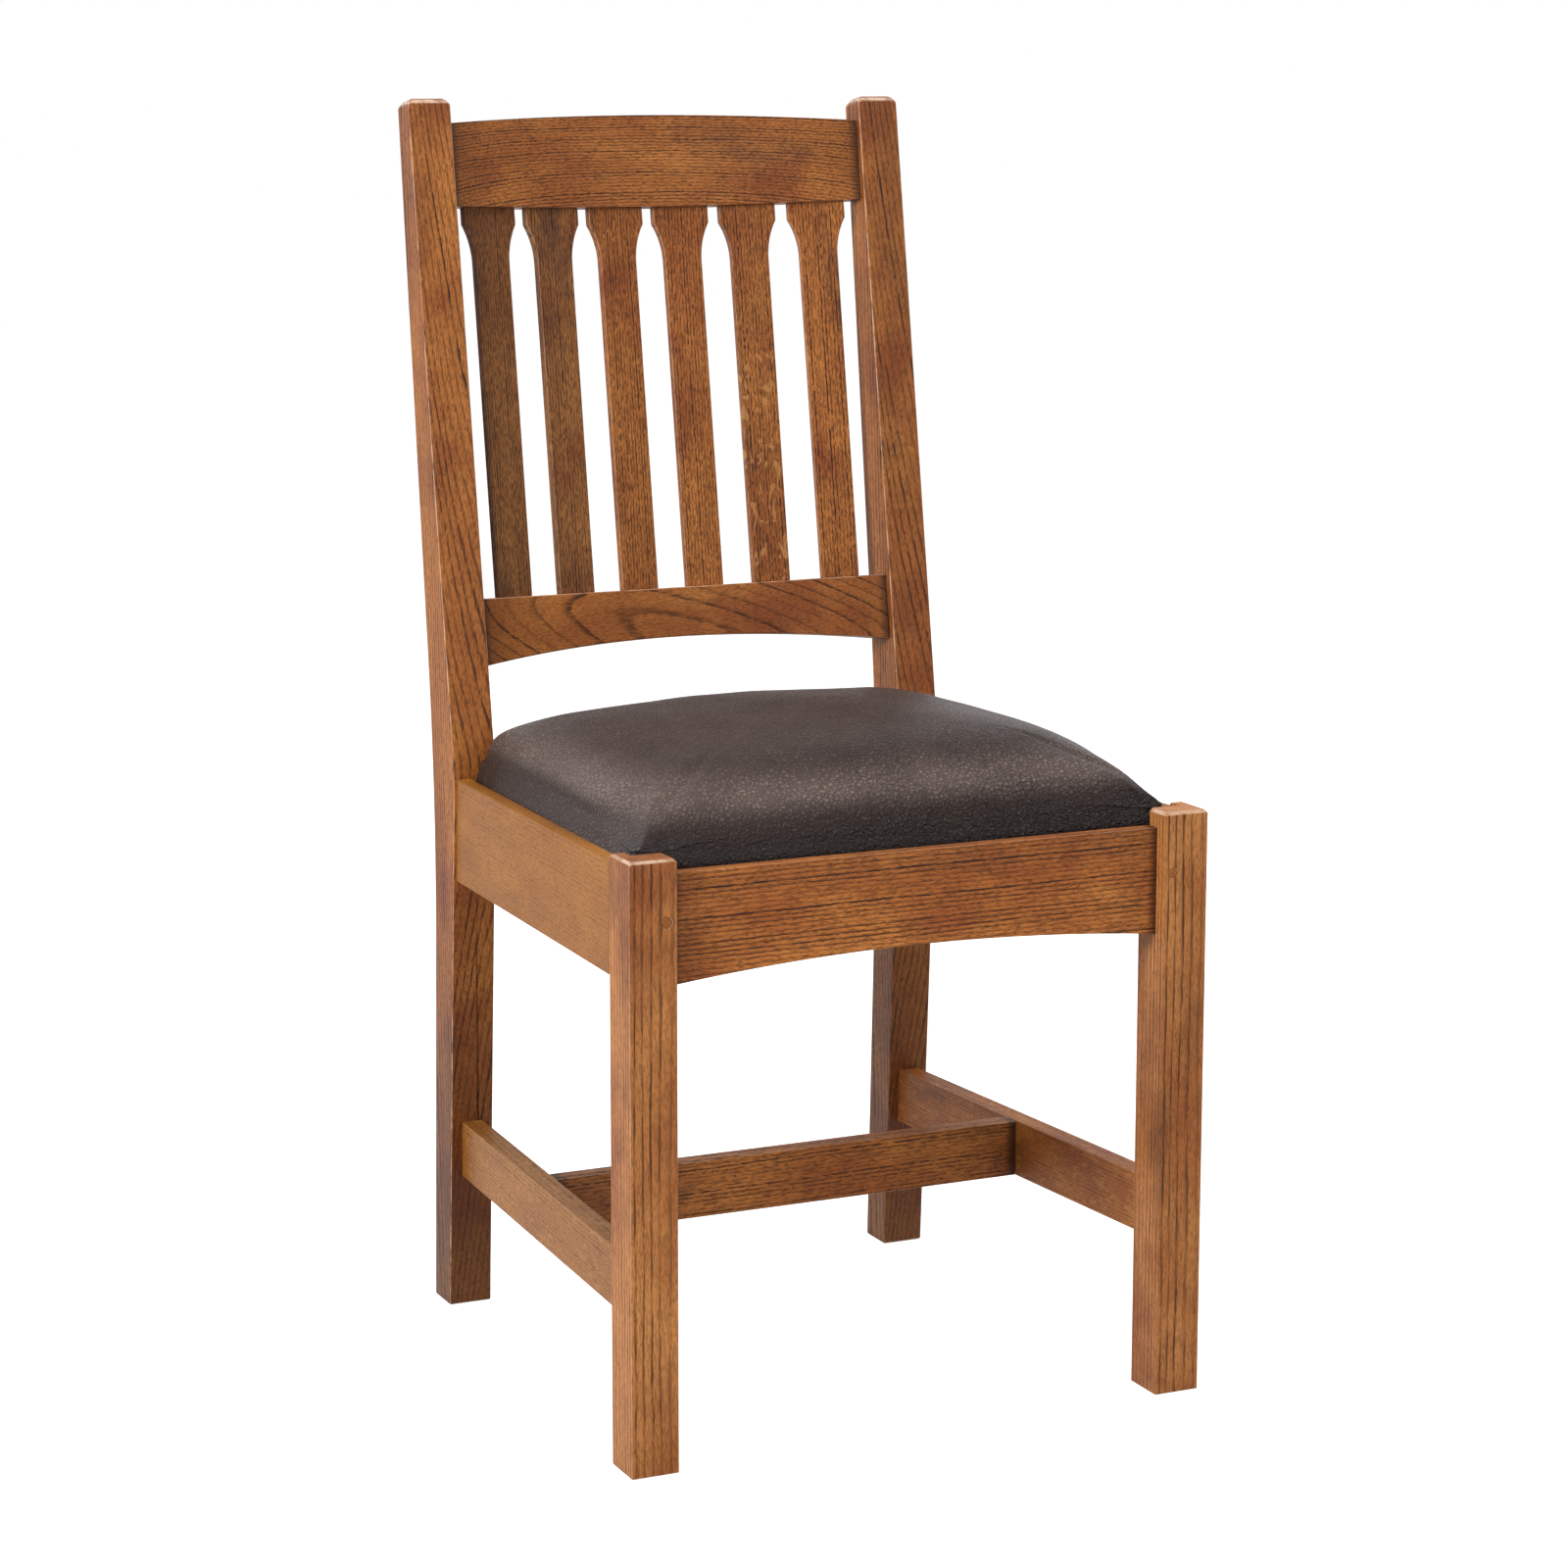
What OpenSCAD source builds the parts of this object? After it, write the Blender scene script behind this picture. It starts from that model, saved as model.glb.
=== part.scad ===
// Wooden side chair with a bowed slat back and a leather slip seat that lifts out.
// Lengths are in millimetres. X runs to the sitter's left, Y to the back, Z up.
// The frame is laid out from the front faces of the front legs, then moved so that the
// origin lies on the floor under the middle of the whole chair.

/* [Overall] */
// Width over the outer faces of the front legs
front_width = 484.5; // [430:0.5:540]
// How much narrower the chair is over the back posts than over the front legs
back_narrowing = 39; // [25:0.5:50]
// Height of the front top edge of the back posts, before its chamfer
chair_height = 1006; // [900:0.5:1100]
// Distance from the front of the front legs to the front of the back posts at the floor
post_setback = 443.5; // [400:0.5:490]

/* [Front legs] */
// Side of the square front legs
leg_side = 38; // [34:0.5:42]
// Height of the front legs
leg_height = 467; // [430:0.5:500]
// Chamfer round the top of a front leg
leg_top_chamfer = 2.5; // [1:0.5:4]

/* [Back posts] */
// Width of the back posts, seen from the front
post_width = 37; // [34:0.5:42]
// How far the bend in a post's front face lies below the top of the front legs
post_knee_drop = 6.5; // [0:0.5:16]
// How far the front of a post's foot stands behind its bend
post_kick = 26.5; // [15:0.5:35]
// How far the front of a post's top stands behind its bend
post_lean = 89; // [70:0.5:105]
// Depth of a post at the floor
post_foot_depth = 35.5; // [32:0.5:42]
// How far the bend in a post's back face lies below the one in its front face
post_back_knee_drop = 28; // [14:0.5:50]
// Depth of a post at the bend of its back face, before rounding
post_knee_depth = 43.5; // [41:0.5:50]
// Depth of a post at its top, square to its front face
post_top_depth = 25.5; // [24:0.5:32]
// Radius of the bend in the front face
post_front_bend = 150; // [60:10:250]
// Radius of the bend in the back face
post_back_bend = 1500; // [600:50:1900]
// Chamfer round the top of a back post
post_top_chamfer = 4.5; // [2:0.5:6]

/* [Seat rails] */
// Thickness of the four seat rails
rail_thick = 22; // [20:0.5:25]
// Thickness of the lip that stands round the seat
seat_lip = 12; // [10:0.5:14]
// How far the ledge that carries the seat lies below the top of the front legs
ledge_drop = 23; // [20:0.5:29]
// How far the front rail stands behind the faces of the legs
front_rail_setback = 11.5; // [6:0.5:14]
// How far the top of the front rail lies below the top of the front legs
front_rail_drop = 13.5; // [9:0.5:17]
// Height of the front rail at its ends, from bottom to top
front_rail_width = 84; // [75:0.5:90]
// Rise of the arch under the front rail
front_rail_arch = 11.5; // [4:0.5:18]
// How far a side rail's top at the leg lies below the top of the front legs
side_rail_front_drop = 6; // [5.5:0.5:11]
// How far a side rail's top at the post lies below the top of the front legs
side_rail_back_drop = 12; // [8:0.5:15]
// Height of a side rail from bottom to top
side_rail_width = 85; // [76:0.5:90]
// How far a side rail lies inside the outer face of the back post
side_rail_set_in = 2.5; // [1:0.5:4]
// How far the rear rail lies behind the front faces of the posts
rear_rail_setback = 2; // [1:0.5:6]

/* [Stretchers] */
// Thickness of the stretchers
stretcher_thick = 17.5; // [15:0.5:20]
// Height of the stretchers from bottom to top
stretcher_width = 47; // [38:0.5:55]
// How far the side stretchers lie inside the faces of the side rails
stretcher_set_in = 6.5; // [4:0.5:9]
// Height of the top of a side stretcher at the leg
stretcher_front_top = 164.5; // [150:0.5:180]
// Height of the top of a side stretcher at the post
stretcher_back_top = 161; // [150:0.5:180]
// Place of the cross stretcher's front, from the fronts of the legs to those of the posts
cross_place_share = 0.538; // [0.4:0.002:0.66]

/* [Back panel] */
// Thickness of the crest rail and the lower back rail
back_rail_thick = 18; // [16:0.5:19]
// How far the ends of the back rails lie behind the fronts of the posts
back_rail_setback = 6.5; // [4:0.5:7]
// How far the back rails bow backwards at the middle
back_bow = 28; // [15:0.5:36]
// Distance from the top of the posts to the ends of the crest rail's top
crest_drop = 20; // [10:0.5:30]
// Height of the crest rail at its ends
crest_width = 68; // [55:0.5:80]
// Rise of the crest rail's top at the middle
crest_arch = 9.5; // [4:0.5:16]
// Height of the lower back rail at its ends
lower_rail_width = 56; // [48:0.5:64]
// Distance up a post from its bend to the bottom of the lower back rail
lower_rail_lift = 85.5; // [70:0.5:110]
// Rise of the arch under the lower back rail
lower_rail_arch = 14; // [4:0.5:16]

/* [Slats] */
// Room between a post and the head of the slat beside it
slat_end_gap = 10.5; // [7:0.5:16]
// Width of a slat, as a share of the distance from slat to slat
slat_width_share = 0.55; // [0.45:0.01:0.65]
// Width of a slat's head under the crest rail, as a share of the same distance
slat_head_share = 0.83; // [0.72:0.01:0.88]
// Thickness of a slat
slat_thick = 8; // [6:0.5:9]
// How far the slats lie behind the fronts of the back rails
slat_setback = 5; // [4:0.5:7]
// Straight height of a slat's head
slat_head_height = 14; // [8:0.5:20]
// Height of the hollow curve between a slat's head and its shaft
slat_cove_height = 32; // [20:0.5:45]

/* [Joinery] */
// Thickness of the tenons
tenon_thick = 9; // [8:0.5:10]
// Distance from the show face of a seat rail to its tenons
tenon_inset = 6.5; // [5:0.5:7]
// Wood between the tenons that meet in a leg or post
tenon_clear = 4; // [3.5:0.5:6]
// Length of the tenons of the side seat rails
side_tenon = 22; // [14:0.5:24]
// Length of the tenons of the side stretchers
stretcher_tenon = 20; // [12:0.5:24]
// Length of the tenons of the cross stretcher
cross_tenon = 10; // [6:0.5:12]
// Length of the tenons of the back rails
back_tenon = 18; // [12:0.5:22]
// Length of the tenons of the slats
slat_tenon = 13; // [8:0.5:18]
// Shoulder above and below a rail's tenon
rail_shoulder = 10; // [6:0.5:12]
// Shoulder round the smaller tenons
small_shoulder = 4; // [3:0.5:6]
// Wood left over a tenon under the seat's ledge
tenon_cover = 6; // [4:0.5:8]
// Diameter of the pins that hold the front rail's tenons
pin_diameter = 8; // [6:0.5:9]
// Distance of a pin from the inner face of its leg
pin_place = 8; // [6.5:0.5:10]
// How far a pin lies below the top of the front legs
pin_drop = 47.5; // [40:0.5:55]
// Wood left behind a pin
pin_stop = 6; // [3:0.5:10]
// Room for glue round a tenon
glue_gap = 0.15; // [0.1:0.05:0.25]
// Room for glue at a tenon's end
glue_room = 1; // [0.5:0.25:1.5]

/* [Corner blocks] */
// Length of a corner block along each rail
block_side = 62; // [56:1:70]
// Height of a corner block
block_height = 28; // [24:0.5:32]
// Room between a corner block and the leg or post that it goes round
block_gap = 1; // [0.5:0.25:2]
// Distance of a screw from the leg or post
screw_place = 27; // [24:0.5:29]
// How far the screws into the side rails stand above the others
screw_stagger = 12; // [11:0.5:13]
// Diameter of a screw's shank
screw_shank = 4.2; // [3.5:0.1:5]
// Diameter of a screw's head
screw_head = 8; // [7:0.1:9]
// Height of a screw's head
screw_head_height = 3; // [2.5:0.1:3.5]
// Depth to which a screw goes into its rail
screw_grip = 15; // [10:0.5:16]
// Wood under a screw's head
screw_seat = 13; // [10:0.5:16]
// Room round a screw in its hole
screw_gap = 0.1; // [0.05:0.05:0.3]
// Room round a screw's head in its pocket
pocket_gap = 1; // [0.5:0.25:1.5]

/* [Slip seat] */
// Room between the seat and the lip round it
seat_gap = 1; // [0.6:0.1:1.4]
// Room between the seat and the front of the posts
seat_back_gap = 2.5; // [1:0.5:5]
// Thickness of the leather
leather_thick = 1.6; // [1:0.1:2]
// Thickness of the seat board
board_thick = 9.5; // [8:0.5:13]
// Radius of the corners of the seat
seat_corner = 12; // [8:0.5:20]
// Height of the seat's drawn-up side above its board
seat_side_height = 21; // [14:0.5:28]
// Height of the crown above the drawn-up side
seat_crown = 54; // [30:0.5:65]
// How far the seat's sides lean in by the top of the side
seat_lean = 6; // [2:0.5:8]
// How far the middle of each side is drawn in between the corners
seat_draw = 4; // [1:0.5:6]
// Width of the leather turned under the board
leather_turn = 24; // [20:0.5:30]
// Thickness of the dust cloth
cloth_thick = 0.8; // [0.5:0.1:1]
// Room between the turned leather and the dust cloth, for the shanks of the tacks
tack_room = 3; // [2.6:0.1:4]
// Diameter of a tack's head
tack_head = 7; // [6:0.5:8]
// Thickness of a tack's head
tack_head_thick = 0.8; // [0.5:0.1:1]
// Diameter of a tack's shank
tack_shank = 1.6; // [1.2:0.1:2]
// Depth to which a tack goes into the board
tack_depth = 7; // [5:0.5:7.5]
// Room between the board, the padding and the leather's sides
layer_gap = 0.3; // [0.2:0.05:0.5]

/* [Hidden] */

// How far cuts run past the faces that they cut
overrun = 2;
// Degrees in a half turn
half_turn = 180;
// Steps in a rounded bend of a post and in a slat's hollow curve
bend_steps = 10;
cove_steps = 10;
// Facets of the large bows and arches, and of screws and tacks
bow_facets = 360;
round_facets = 32;

oak = [0.56, 0.34, 0.19];
oak_dark = [0.44, 0.25, 0.14];
hide = [0.22, 0.18, 0.16];
ply = [0.74, 0.60, 0.42];
foam_colour = [0.88, 0.84, 0.70];
cloth_colour = [0.08, 0.08, 0.09];
steel = [0.60, 0.60, 0.62];

// Small vector helpers
function unit(v) = v / norm(v);
function mix(a, b, share) = a + (b - a) * share;

// Points of the round bend of a given radius between the straight lines a-k and k-b
function bend(a, k, b, radius) =
    let (to_a = unit(a - k))
    let (to_b = unit(b - k))
    let (half = acos(to_a * to_b) / 2)
    let (middle = k + unit(to_a + to_b) * radius / sin(half))
    let (reach = radius / tan(half))
    let (first = unit(k + to_a * reach - middle))
    let (last = unit(k + to_b * reach - middle))
    let (sweep = half_turn - 2 * half)
    [for (i = [0 : bend_steps])
        middle + radius * (sin(sweep - sweep * i / bend_steps) * first
                           + sin(sweep * i / bend_steps) * last) / sin(sweep)];

// Radius of the arc that rises by a given amount over half its span
function arc_radius(half_span, rise) = (half_span * half_span + rise * rise) / (2 * rise);

// Heights that keep with the top of the front legs
ledge_height = leg_height - ledge_drop;
front_rail_top = leg_height - front_rail_drop;
side_rail_front_top = leg_height - side_rail_front_drop;
side_rail_back_top = leg_height - side_rail_back_drop;
post_knee_height = leg_height - post_knee_drop;
post_back_knee_height = post_knee_height - post_back_knee_drop;

// Side outline of a back post: Y and Z of its corners
knee_y = post_setback - post_kick;
post_rake = atan(post_lean / (chair_height - post_knee_height));
post_foot = [post_setback, 0];
post_knee = [knee_y, post_knee_height];
post_top = [knee_y + post_lean, chair_height];
post_back_foot = [post_setback + post_foot_depth, 0];
post_back_knee = [post_setback - post_kick * post_back_knee_height / post_knee_height
                  + post_knee_depth, post_back_knee_height];
post_back_top = post_top + post_top_depth * [cos(post_rake), -sin(post_rake)];
post_back_chamfer = post_back_top - post_top_chamfer * unit(post_back_top - post_back_knee);
post_outline = concat(
    [post_foot],
    bend(post_foot, post_knee, post_top, post_front_bend),
    [post_top - post_top_chamfer * unit(post_top - post_knee)],
    [post_top + post_top_chamfer * unit(post_back_top - post_top)],
    [post_back_top - post_top_chamfer * unit(post_back_top - post_top)],
    [post_back_chamfer],
    bend(post_back_top, post_back_knee, post_back_foot, post_back_bend),
    [post_back_foot]
);

// Y of a post's front face at a height below the bend
function post_front(z) = post_setback - post_kick * z / post_knee_height;

// Half widths
leg_outer = front_width / 2;
leg_inner = leg_outer - leg_side;
post_outer = leg_outer - back_narrowing / 2;
post_inner = post_outer - post_width;

// Lengths of the front and rear rails' tenons, which end beside those of the side rails
front_tenon = leg_side - tenon_inset - tenon_thick - tenon_clear;
rear_tenon = post_width - side_rail_set_in - tenon_inset - tenon_thick - tenon_clear;

// Side rails run from the back of the legs to the posts, splaying forwards
splay = (leg_outer - post_outer + side_rail_set_in) / (knee_y - leg_side);
function side_x(y, inset) = leg_outer - splay * (y - leg_side) - inset * sqrt(1 + splay * splay);
function side_top(y) = mix(side_rail_front_top, side_rail_back_top,
                           (y - leg_side) / (knee_y - leg_side));

// Front and rear rails
front_rail_back = front_rail_setback + rail_thick;
front_rail_bottom = front_rail_top - front_rail_width;
lip_back = front_rail_setback + seat_lip;
tenon_top = ledge_height - tenon_cover;

// The rear rail leans with the lower part of the posts, so its heights count from their bend
foot_angle = atan(post_kick / post_knee_height);
rear_rail_top = side_rail_back_top - post_knee_height;
rear_rail_bottom = rear_rail_top - side_rail_width;
rear_tenon_front = rear_rail_setback + (rail_thick - tenon_thick) / 2;
function rear_rail_face(z) = post_front(z) + rear_rail_setback / cos(foot_angle);

// Side stretchers follow the splay
function stretcher_top(y) = mix(stretcher_front_top, stretcher_back_top,
                                (y - leg_side) / (knee_y - leg_side));
stretcher_tenon_inset = stretcher_set_in + (stretcher_thick - tenon_thick) / 2;
stretcher_back = post_front(stretcher_back_top - stretcher_width / 2);
cross_stretcher_setback = post_setback * cross_place_share;
cross_back = cross_stretcher_setback + stretcher_thick;
cross_middle = (cross_stretcher_setback + cross_back) / 2;
cross_inset = stretcher_set_in + stretcher_thick;
cross_tenon_front = cross_middle - tenon_thick / 2;
cross_top = stretcher_top(cross_middle);

// Back panel: heights are measured down the fronts of the posts from their tops
crest_top = -crest_drop;
crest_bottom = crest_top - crest_width;
lower_bottom = lower_rail_lift - norm(post_top - post_knee);
lower_top = lower_bottom + lower_rail_width;
bow_radius = arc_radius(post_inner, back_bow);
bow_centre = back_rail_setback + back_bow - bow_radius;
back_tenon_front = back_rail_setback + (back_rail_thick - tenon_thick) / 2;
slat_count = 6;
slat_pitch = 2 * (post_inner - slat_end_gap) / (slat_count - 1 + slat_head_share);
slat_width = slat_pitch * slat_width_share;
slat_head_width = slat_pitch * slat_head_share;

// The whole depth, to the back of the crest rail's bow, puts the origin under the middle
crest_back = post_top[0] + (back_rail_setback + back_bow + back_rail_thick) * cos(post_rake)
             + (crest_top + crest_arch) * sin(post_rake);
chair_depth = max(crest_back, post_back_chamfer[0], post_back_foot[0]);

// Corner blocks
block_top = ledge_height;
block_bottom = block_top - block_height;
rear_block_back = post_front(block_top);

// Layers of the slip seat, from its underside up
cover_bottom = ledge_height;
board_bottom = cover_bottom + leather_thick;
board_top = board_bottom + board_thick;
shoulder_height = board_top + seat_side_height;
seat_front = lip_back + seat_gap;
seat_back = knee_y - seat_back_gap;
seat_inset = seat_lip + seat_gap;
board_inset = leather_thick + layer_gap;

// Moves a piece from the layout at the front legs to the chair's own origin
module centred() translate([0, -chair_depth / 2, 0]) children();

// Pieces are laid out on the right, and side -1 mirrors them to the left
module on_side(side) if (side < 0) mirror([1, 0, 0]) children(); else children();

// Stands an outline of Y and Z upright and runs it from one X to another
module across(from, to) translate([from, 0, 0]) rotate([90, 0, 90])
    linear_extrude(to - from) children();

// Stands an outline of X and Z upright and runs it from one Y to another
module along(from, to) translate([0, to, 0]) rotate([90, 0, 0])
    linear_extrude(to - from) children();

// Lays an outline of X and Y flat and runs it from one Z to another
module level(from, to) translate([0, 0, from]) linear_extrude(to - from) children();

// A block between two corners
module block(low, high) translate(low) cube(high - low);

// A strip along a side rail: from one Y to another, at an inset from the rail's face
module side_strip(y0, y1, inset, thick)
    polygon([[side_x(y0, inset), y0], [side_x(y1, inset), y1],
             [side_x(y1, inset + thick), y1], [side_x(y0, inset + thick), y0]]);

// Puts children in the frame of the back: X to the side, Y square to the fronts of the
// posts, Z up along them, from the top of the posts
module on_back() translate([0, post_top[0], post_top[1]]) rotate([-post_rake, 0, 0]) children();

// Puts children in the frame of the posts' feet: Y square to their fronts, Z up along them,
// from the bend of the front face
module on_foot() translate([0, knee_y, post_knee_height]) rotate([foot_angle, 0, 0]) children();

// A post without its mortises and without the chamfers on its top's sides
module post_block() across(post_inner, post_outer) polygon(post_outline);

// Tenons of the right side, each grown by a gap when it serves as a mortise

module front_rail_tenon(gap, room)
    block([leg_inner - overrun, front_rail_setback + tenon_inset - gap,
           front_rail_bottom + rail_shoulder - gap],
          [leg_inner + front_tenon + room, front_rail_setback + tenon_inset + tenon_thick + gap,
           tenon_top + gap]);

module side_rail_front_tenon(gap, room)
    level(side_rail_front_top - side_rail_width + rail_shoulder - gap, tenon_top + gap)
        side_strip(leg_side - side_tenon - room, leg_side + overrun,
                   tenon_inset - gap, tenon_thick + 2 * gap);

module side_rail_back_tenon(gap, room)
    level(side_rail_back_top - side_rail_width + rail_shoulder - gap, tenon_top + gap)
        side_strip(knee_y - overrun, knee_y + side_tenon + room,
                   tenon_inset - gap, tenon_thick + 2 * gap);

module rear_rail_tenon(gap, room) on_foot()
    block([post_inner - overrun, rear_tenon_front - gap, rear_rail_bottom + rail_shoulder - gap],
          [post_inner + rear_tenon + room, rear_tenon_front + tenon_thick + gap,
           tenon_top - post_knee_height + gap]);

module stretcher_front_tenon(gap, room)
    level(stretcher_front_top - stretcher_width + small_shoulder - gap,
          stretcher_front_top - small_shoulder + gap)
        side_strip(leg_side - stretcher_tenon - room, leg_side + overrun,
                   stretcher_tenon_inset - gap, tenon_thick + 2 * gap);

module stretcher_back_tenon(gap, room)
    level(stretcher_back_top - stretcher_width + small_shoulder - gap,
          stretcher_back_top - small_shoulder + gap)
        side_strip(stretcher_back - overrun, stretcher_back + stretcher_tenon + room,
                   stretcher_tenon_inset - gap, tenon_thick + 2 * gap);

module cross_stretcher_tenon(gap, room)
    level(cross_top - stretcher_width + small_shoulder - gap, cross_top - small_shoulder + gap)
        side_strip(cross_tenon_front - gap, cross_tenon_front + tenon_thick + gap,
                   cross_inset - cross_tenon - room, cross_tenon + room + overrun);

module back_rail_tenon(bottom, top, gap, room) on_back()
    block([post_inner - overrun, back_tenon_front - gap, bottom + small_shoulder - gap],
          [post_inner + back_tenon + room, back_tenon_front + tenon_thick + gap,
           top - small_shoulder + gap]);

// The pin through the front rail's tenon, or the bore for it
module rail_pin(gap, room, start)
    translate([leg_inner + pin_place, 0, leg_height - pin_drop]) along(start, leg_side - pin_stop + room)
        circle(pin_diameter / 2 + gap, $fn = round_facets);

// A front leg, notched at its top for the corner of the seat
module leg() difference() {
    intersection() {
        across(leg_inner, leg_outer) leg_end(0, leg_side);
        along(0, leg_side) leg_end(leg_inner, leg_outer);
    }
    level(ledge_height, leg_height + overrun)
        polygon([[leg_inner - overrun, lip_back], [side_x(lip_back, seat_lip), lip_back],
                 [side_x(leg_side + overrun, seat_lip), leg_side + overrun],
                 [leg_inner - overrun, leg_side + overrun]]);
    front_rail_tenon(glue_gap, glue_room);
    side_rail_front_tenon(glue_gap, glue_room);
    stretcher_front_tenon(glue_gap, glue_room);
    rail_pin(glue_gap, glue_room, -overrun);
}

// Outline of a leg seen square on, with the chamfered top
module leg_end(from, to)
    polygon([[from, 0], [to, 0], [to, leg_height - leg_top_chamfer],
             [to - leg_top_chamfer, leg_height], [from + leg_top_chamfer, leg_height],
             [from, leg_height - leg_top_chamfer]]);

// A back post: leg and upright in one piece
module post() difference() {
    intersection() {
        post_block();
        on_back() along(-chair_depth, chair_depth)
            polygon([[post_inner, -2 * chair_height], [post_outer, -2 * chair_height],
                     [post_outer, -post_top_chamfer], [post_outer - post_top_chamfer, 0],
                     [post_inner + post_top_chamfer, 0], [post_inner, -post_top_chamfer]]);
    }
    side_rail_back_tenon(glue_gap, glue_room);
    rear_rail_tenon(glue_gap, glue_room);
    stretcher_back_tenon(glue_gap, glue_room);
    back_rail_tenon(crest_bottom, crest_top, glue_gap, glue_room);
    back_rail_tenon(lower_bottom, lower_top, glue_gap, glue_room);
}

// A side seat rail with its rabbet for the seat
module side_rail() difference() {
    union() {
        difference() {
            intersection() {
                level(0, chair_height)
                    side_strip(leg_side, knee_y + post_knee_depth / 2, 0, rail_thick);
                across(0, leg_outer + overrun)
                    polygon([[0, side_top(0) - side_rail_width], [0, side_top(0)],
                             [post_setback, side_top(post_setback)],
                             [post_setback, side_top(post_setback) - side_rail_width]]);
            }
            post_block();
        }
        side_rail_front_tenon(0, 0);
        side_rail_back_tenon(0, 0);
    }
    level(ledge_height, leg_height) side_strip(0, post_setback, seat_lip, rail_thick);
    corner_screws(screw_gap);
}

// The front seat rail, arched below, with its rabbet for the seat
module front_rail() difference() {
    union() {
        block([-leg_inner, front_rail_setback, front_rail_bottom],
              [leg_inner, front_rail_back, front_rail_top]);
        for (side = [-1, 1]) on_side(side) front_rail_tenon(0, 0);
    }
    arch_cut(leg_inner, front_rail_arch, front_rail_bottom,
             front_rail_setback - overrun, front_rail_back + overrun);
    block([-leg_inner - overrun, lip_back, ledge_height],
          [leg_inner + overrun, front_rail_back + overrun, front_rail_top + overrun]);
    for (side = [-1, 1]) on_side(side) {
        corner_screws(screw_gap);
        rail_pin(glue_gap, glue_room, -overrun);
    }
}

// A round cut along Y that hollows the bottom of a rail
module arch_cut(half_span, rise, bottom, from, to)
    let (radius = arc_radius(half_span, rise))
    along(from, to) translate([0, bottom + rise - radius]) circle(radius, $fn = bow_facets);

module rear_rail_board() on_foot()
    block([-post_inner, rear_rail_setback, rear_rail_bottom],
          [post_inner, rear_rail_setback + rail_thick, rear_rail_top]);

// The rail between the back posts, behind the seat
module rear_rail() difference() {
    union() {
        rear_rail_board();
        for (side = [-1, 1]) on_side(side) rear_rail_tenon(0, 0);
    }
    for (side = [-1, 1]) on_side(side) corner_screws(screw_gap);
}

// A bowed board of the back between two heights
module bowed(bottom, top) on_back() intersection() {
    translate([0, bow_centre, 0]) level(bottom, top) difference() {
        circle(bow_radius + back_rail_thick, $fn = bow_facets);
        circle(bow_radius, $fn = bow_facets);
    }
    block([-post_inner, 0, bottom - overrun], [post_inner, chair_depth, top + overrun]);
}

// The crest rail, its top arched, with the mortises of the slats
module crest() difference() {
    union() {
        intersection() {
            bowed(crest_bottom, crest_top + crest_arch);
            let (radius = arc_radius(post_inner, crest_arch))
            on_back() along(0, chair_depth)
                translate([0, crest_top + crest_arch - radius]) circle(radius, $fn = bow_facets);
        }
        for (side = [-1, 1]) on_side(side) back_rail_tenon(crest_bottom, crest_top, 0, 0);
    }
    for (i = [0 : slat_count - 1]) slat_tenons(i, glue_gap, glue_room);
}

// The lower back rail, arched below, with the mortises of the slats
module lower_rail() difference() {
    union() {
        bowed(lower_bottom, lower_top);
        for (side = [-1, 1]) on_side(side) back_rail_tenon(lower_bottom, lower_top, 0, 0);
    }
    on_back() arch_cut(post_inner, lower_rail_arch, lower_bottom, 0, chair_depth);
    for (i = [0 : slat_count - 1]) slat_tenons(i, glue_gap, glue_room);
}

// Stands children square to the bow of the back at one slat's place
module at_slat(i)
    let (x = (i - (slat_count - 1) / 2) * slat_pitch)
    let (turn = asin(x / (bow_radius + slat_setback + slat_thick / 2)))
    on_back() translate([0, bow_centre, 0]) rotate([0, 0, -turn])
        translate([0, bow_radius + slat_setback, 0]) children();

// Both tenons of a slat, or the mortises for them
module slat_tenons(i, gap, room) at_slat(i) {
    block([small_shoulder - slat_head_width / 2 - gap, -gap, crest_bottom - overrun],
          [slat_head_width / 2 - small_shoulder + gap, slat_thick + gap,
           crest_bottom + slat_tenon + room]);
    block([small_shoulder - slat_width / 2 - gap, -gap, lower_top - slat_tenon - room],
          [slat_width / 2 - small_shoulder + gap, slat_thick + gap, lower_top + overrun]);
}

// Right edge of a slat, from its foot through the hollow curve to its head
cove_depth = (slat_head_width - slat_width) / 2;
cove_angle = 2 * atan(cove_depth / slat_cove_height);
cove_radius = slat_cove_height / sin(cove_angle);
cove_bottom = crest_bottom - slat_head_height - slat_cove_height;
slat_edge = concat(
    [[slat_width / 2, lower_top]],
    [for (i = [0 : cove_steps])
        [slat_width / 2 + cove_radius * (1 - cos(cove_angle * i / cove_steps)),
         cove_bottom + cove_radius * sin(cove_angle * i / cove_steps)]],
    [[slat_head_width / 2, crest_bottom]]
);

// A flat slat with its wide head and its tenons
module slat(i) union() {
    at_slat(i) along(0, slat_thick)
        polygon(concat(slat_edge, [for (k = [len(slat_edge) - 1 : -1 : 0])
                                      [-slat_edge[k][0], slat_edge[k][1]]]));
    slat_tenons(i, 0, 0);
}

// A side stretcher between a front leg and a back post
module side_stretcher() difference() {
    union() {
        difference() {
            intersection() {
                level(0, chair_height)
                    side_strip(leg_side, post_setback + post_foot_depth / 2,
                               stretcher_set_in, stretcher_thick);
                across(0, leg_outer)
                    polygon([[0, stretcher_top(0) - stretcher_width], [0, stretcher_top(0)],
                             [chair_depth, stretcher_top(chair_depth)],
                             [chair_depth, stretcher_top(chair_depth) - stretcher_width]]);
            }
            post_block();
        }
        stretcher_front_tenon(0, 0);
        stretcher_back_tenon(0, 0);
    }
    cross_stretcher_tenon(glue_gap, glue_room);
}

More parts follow.
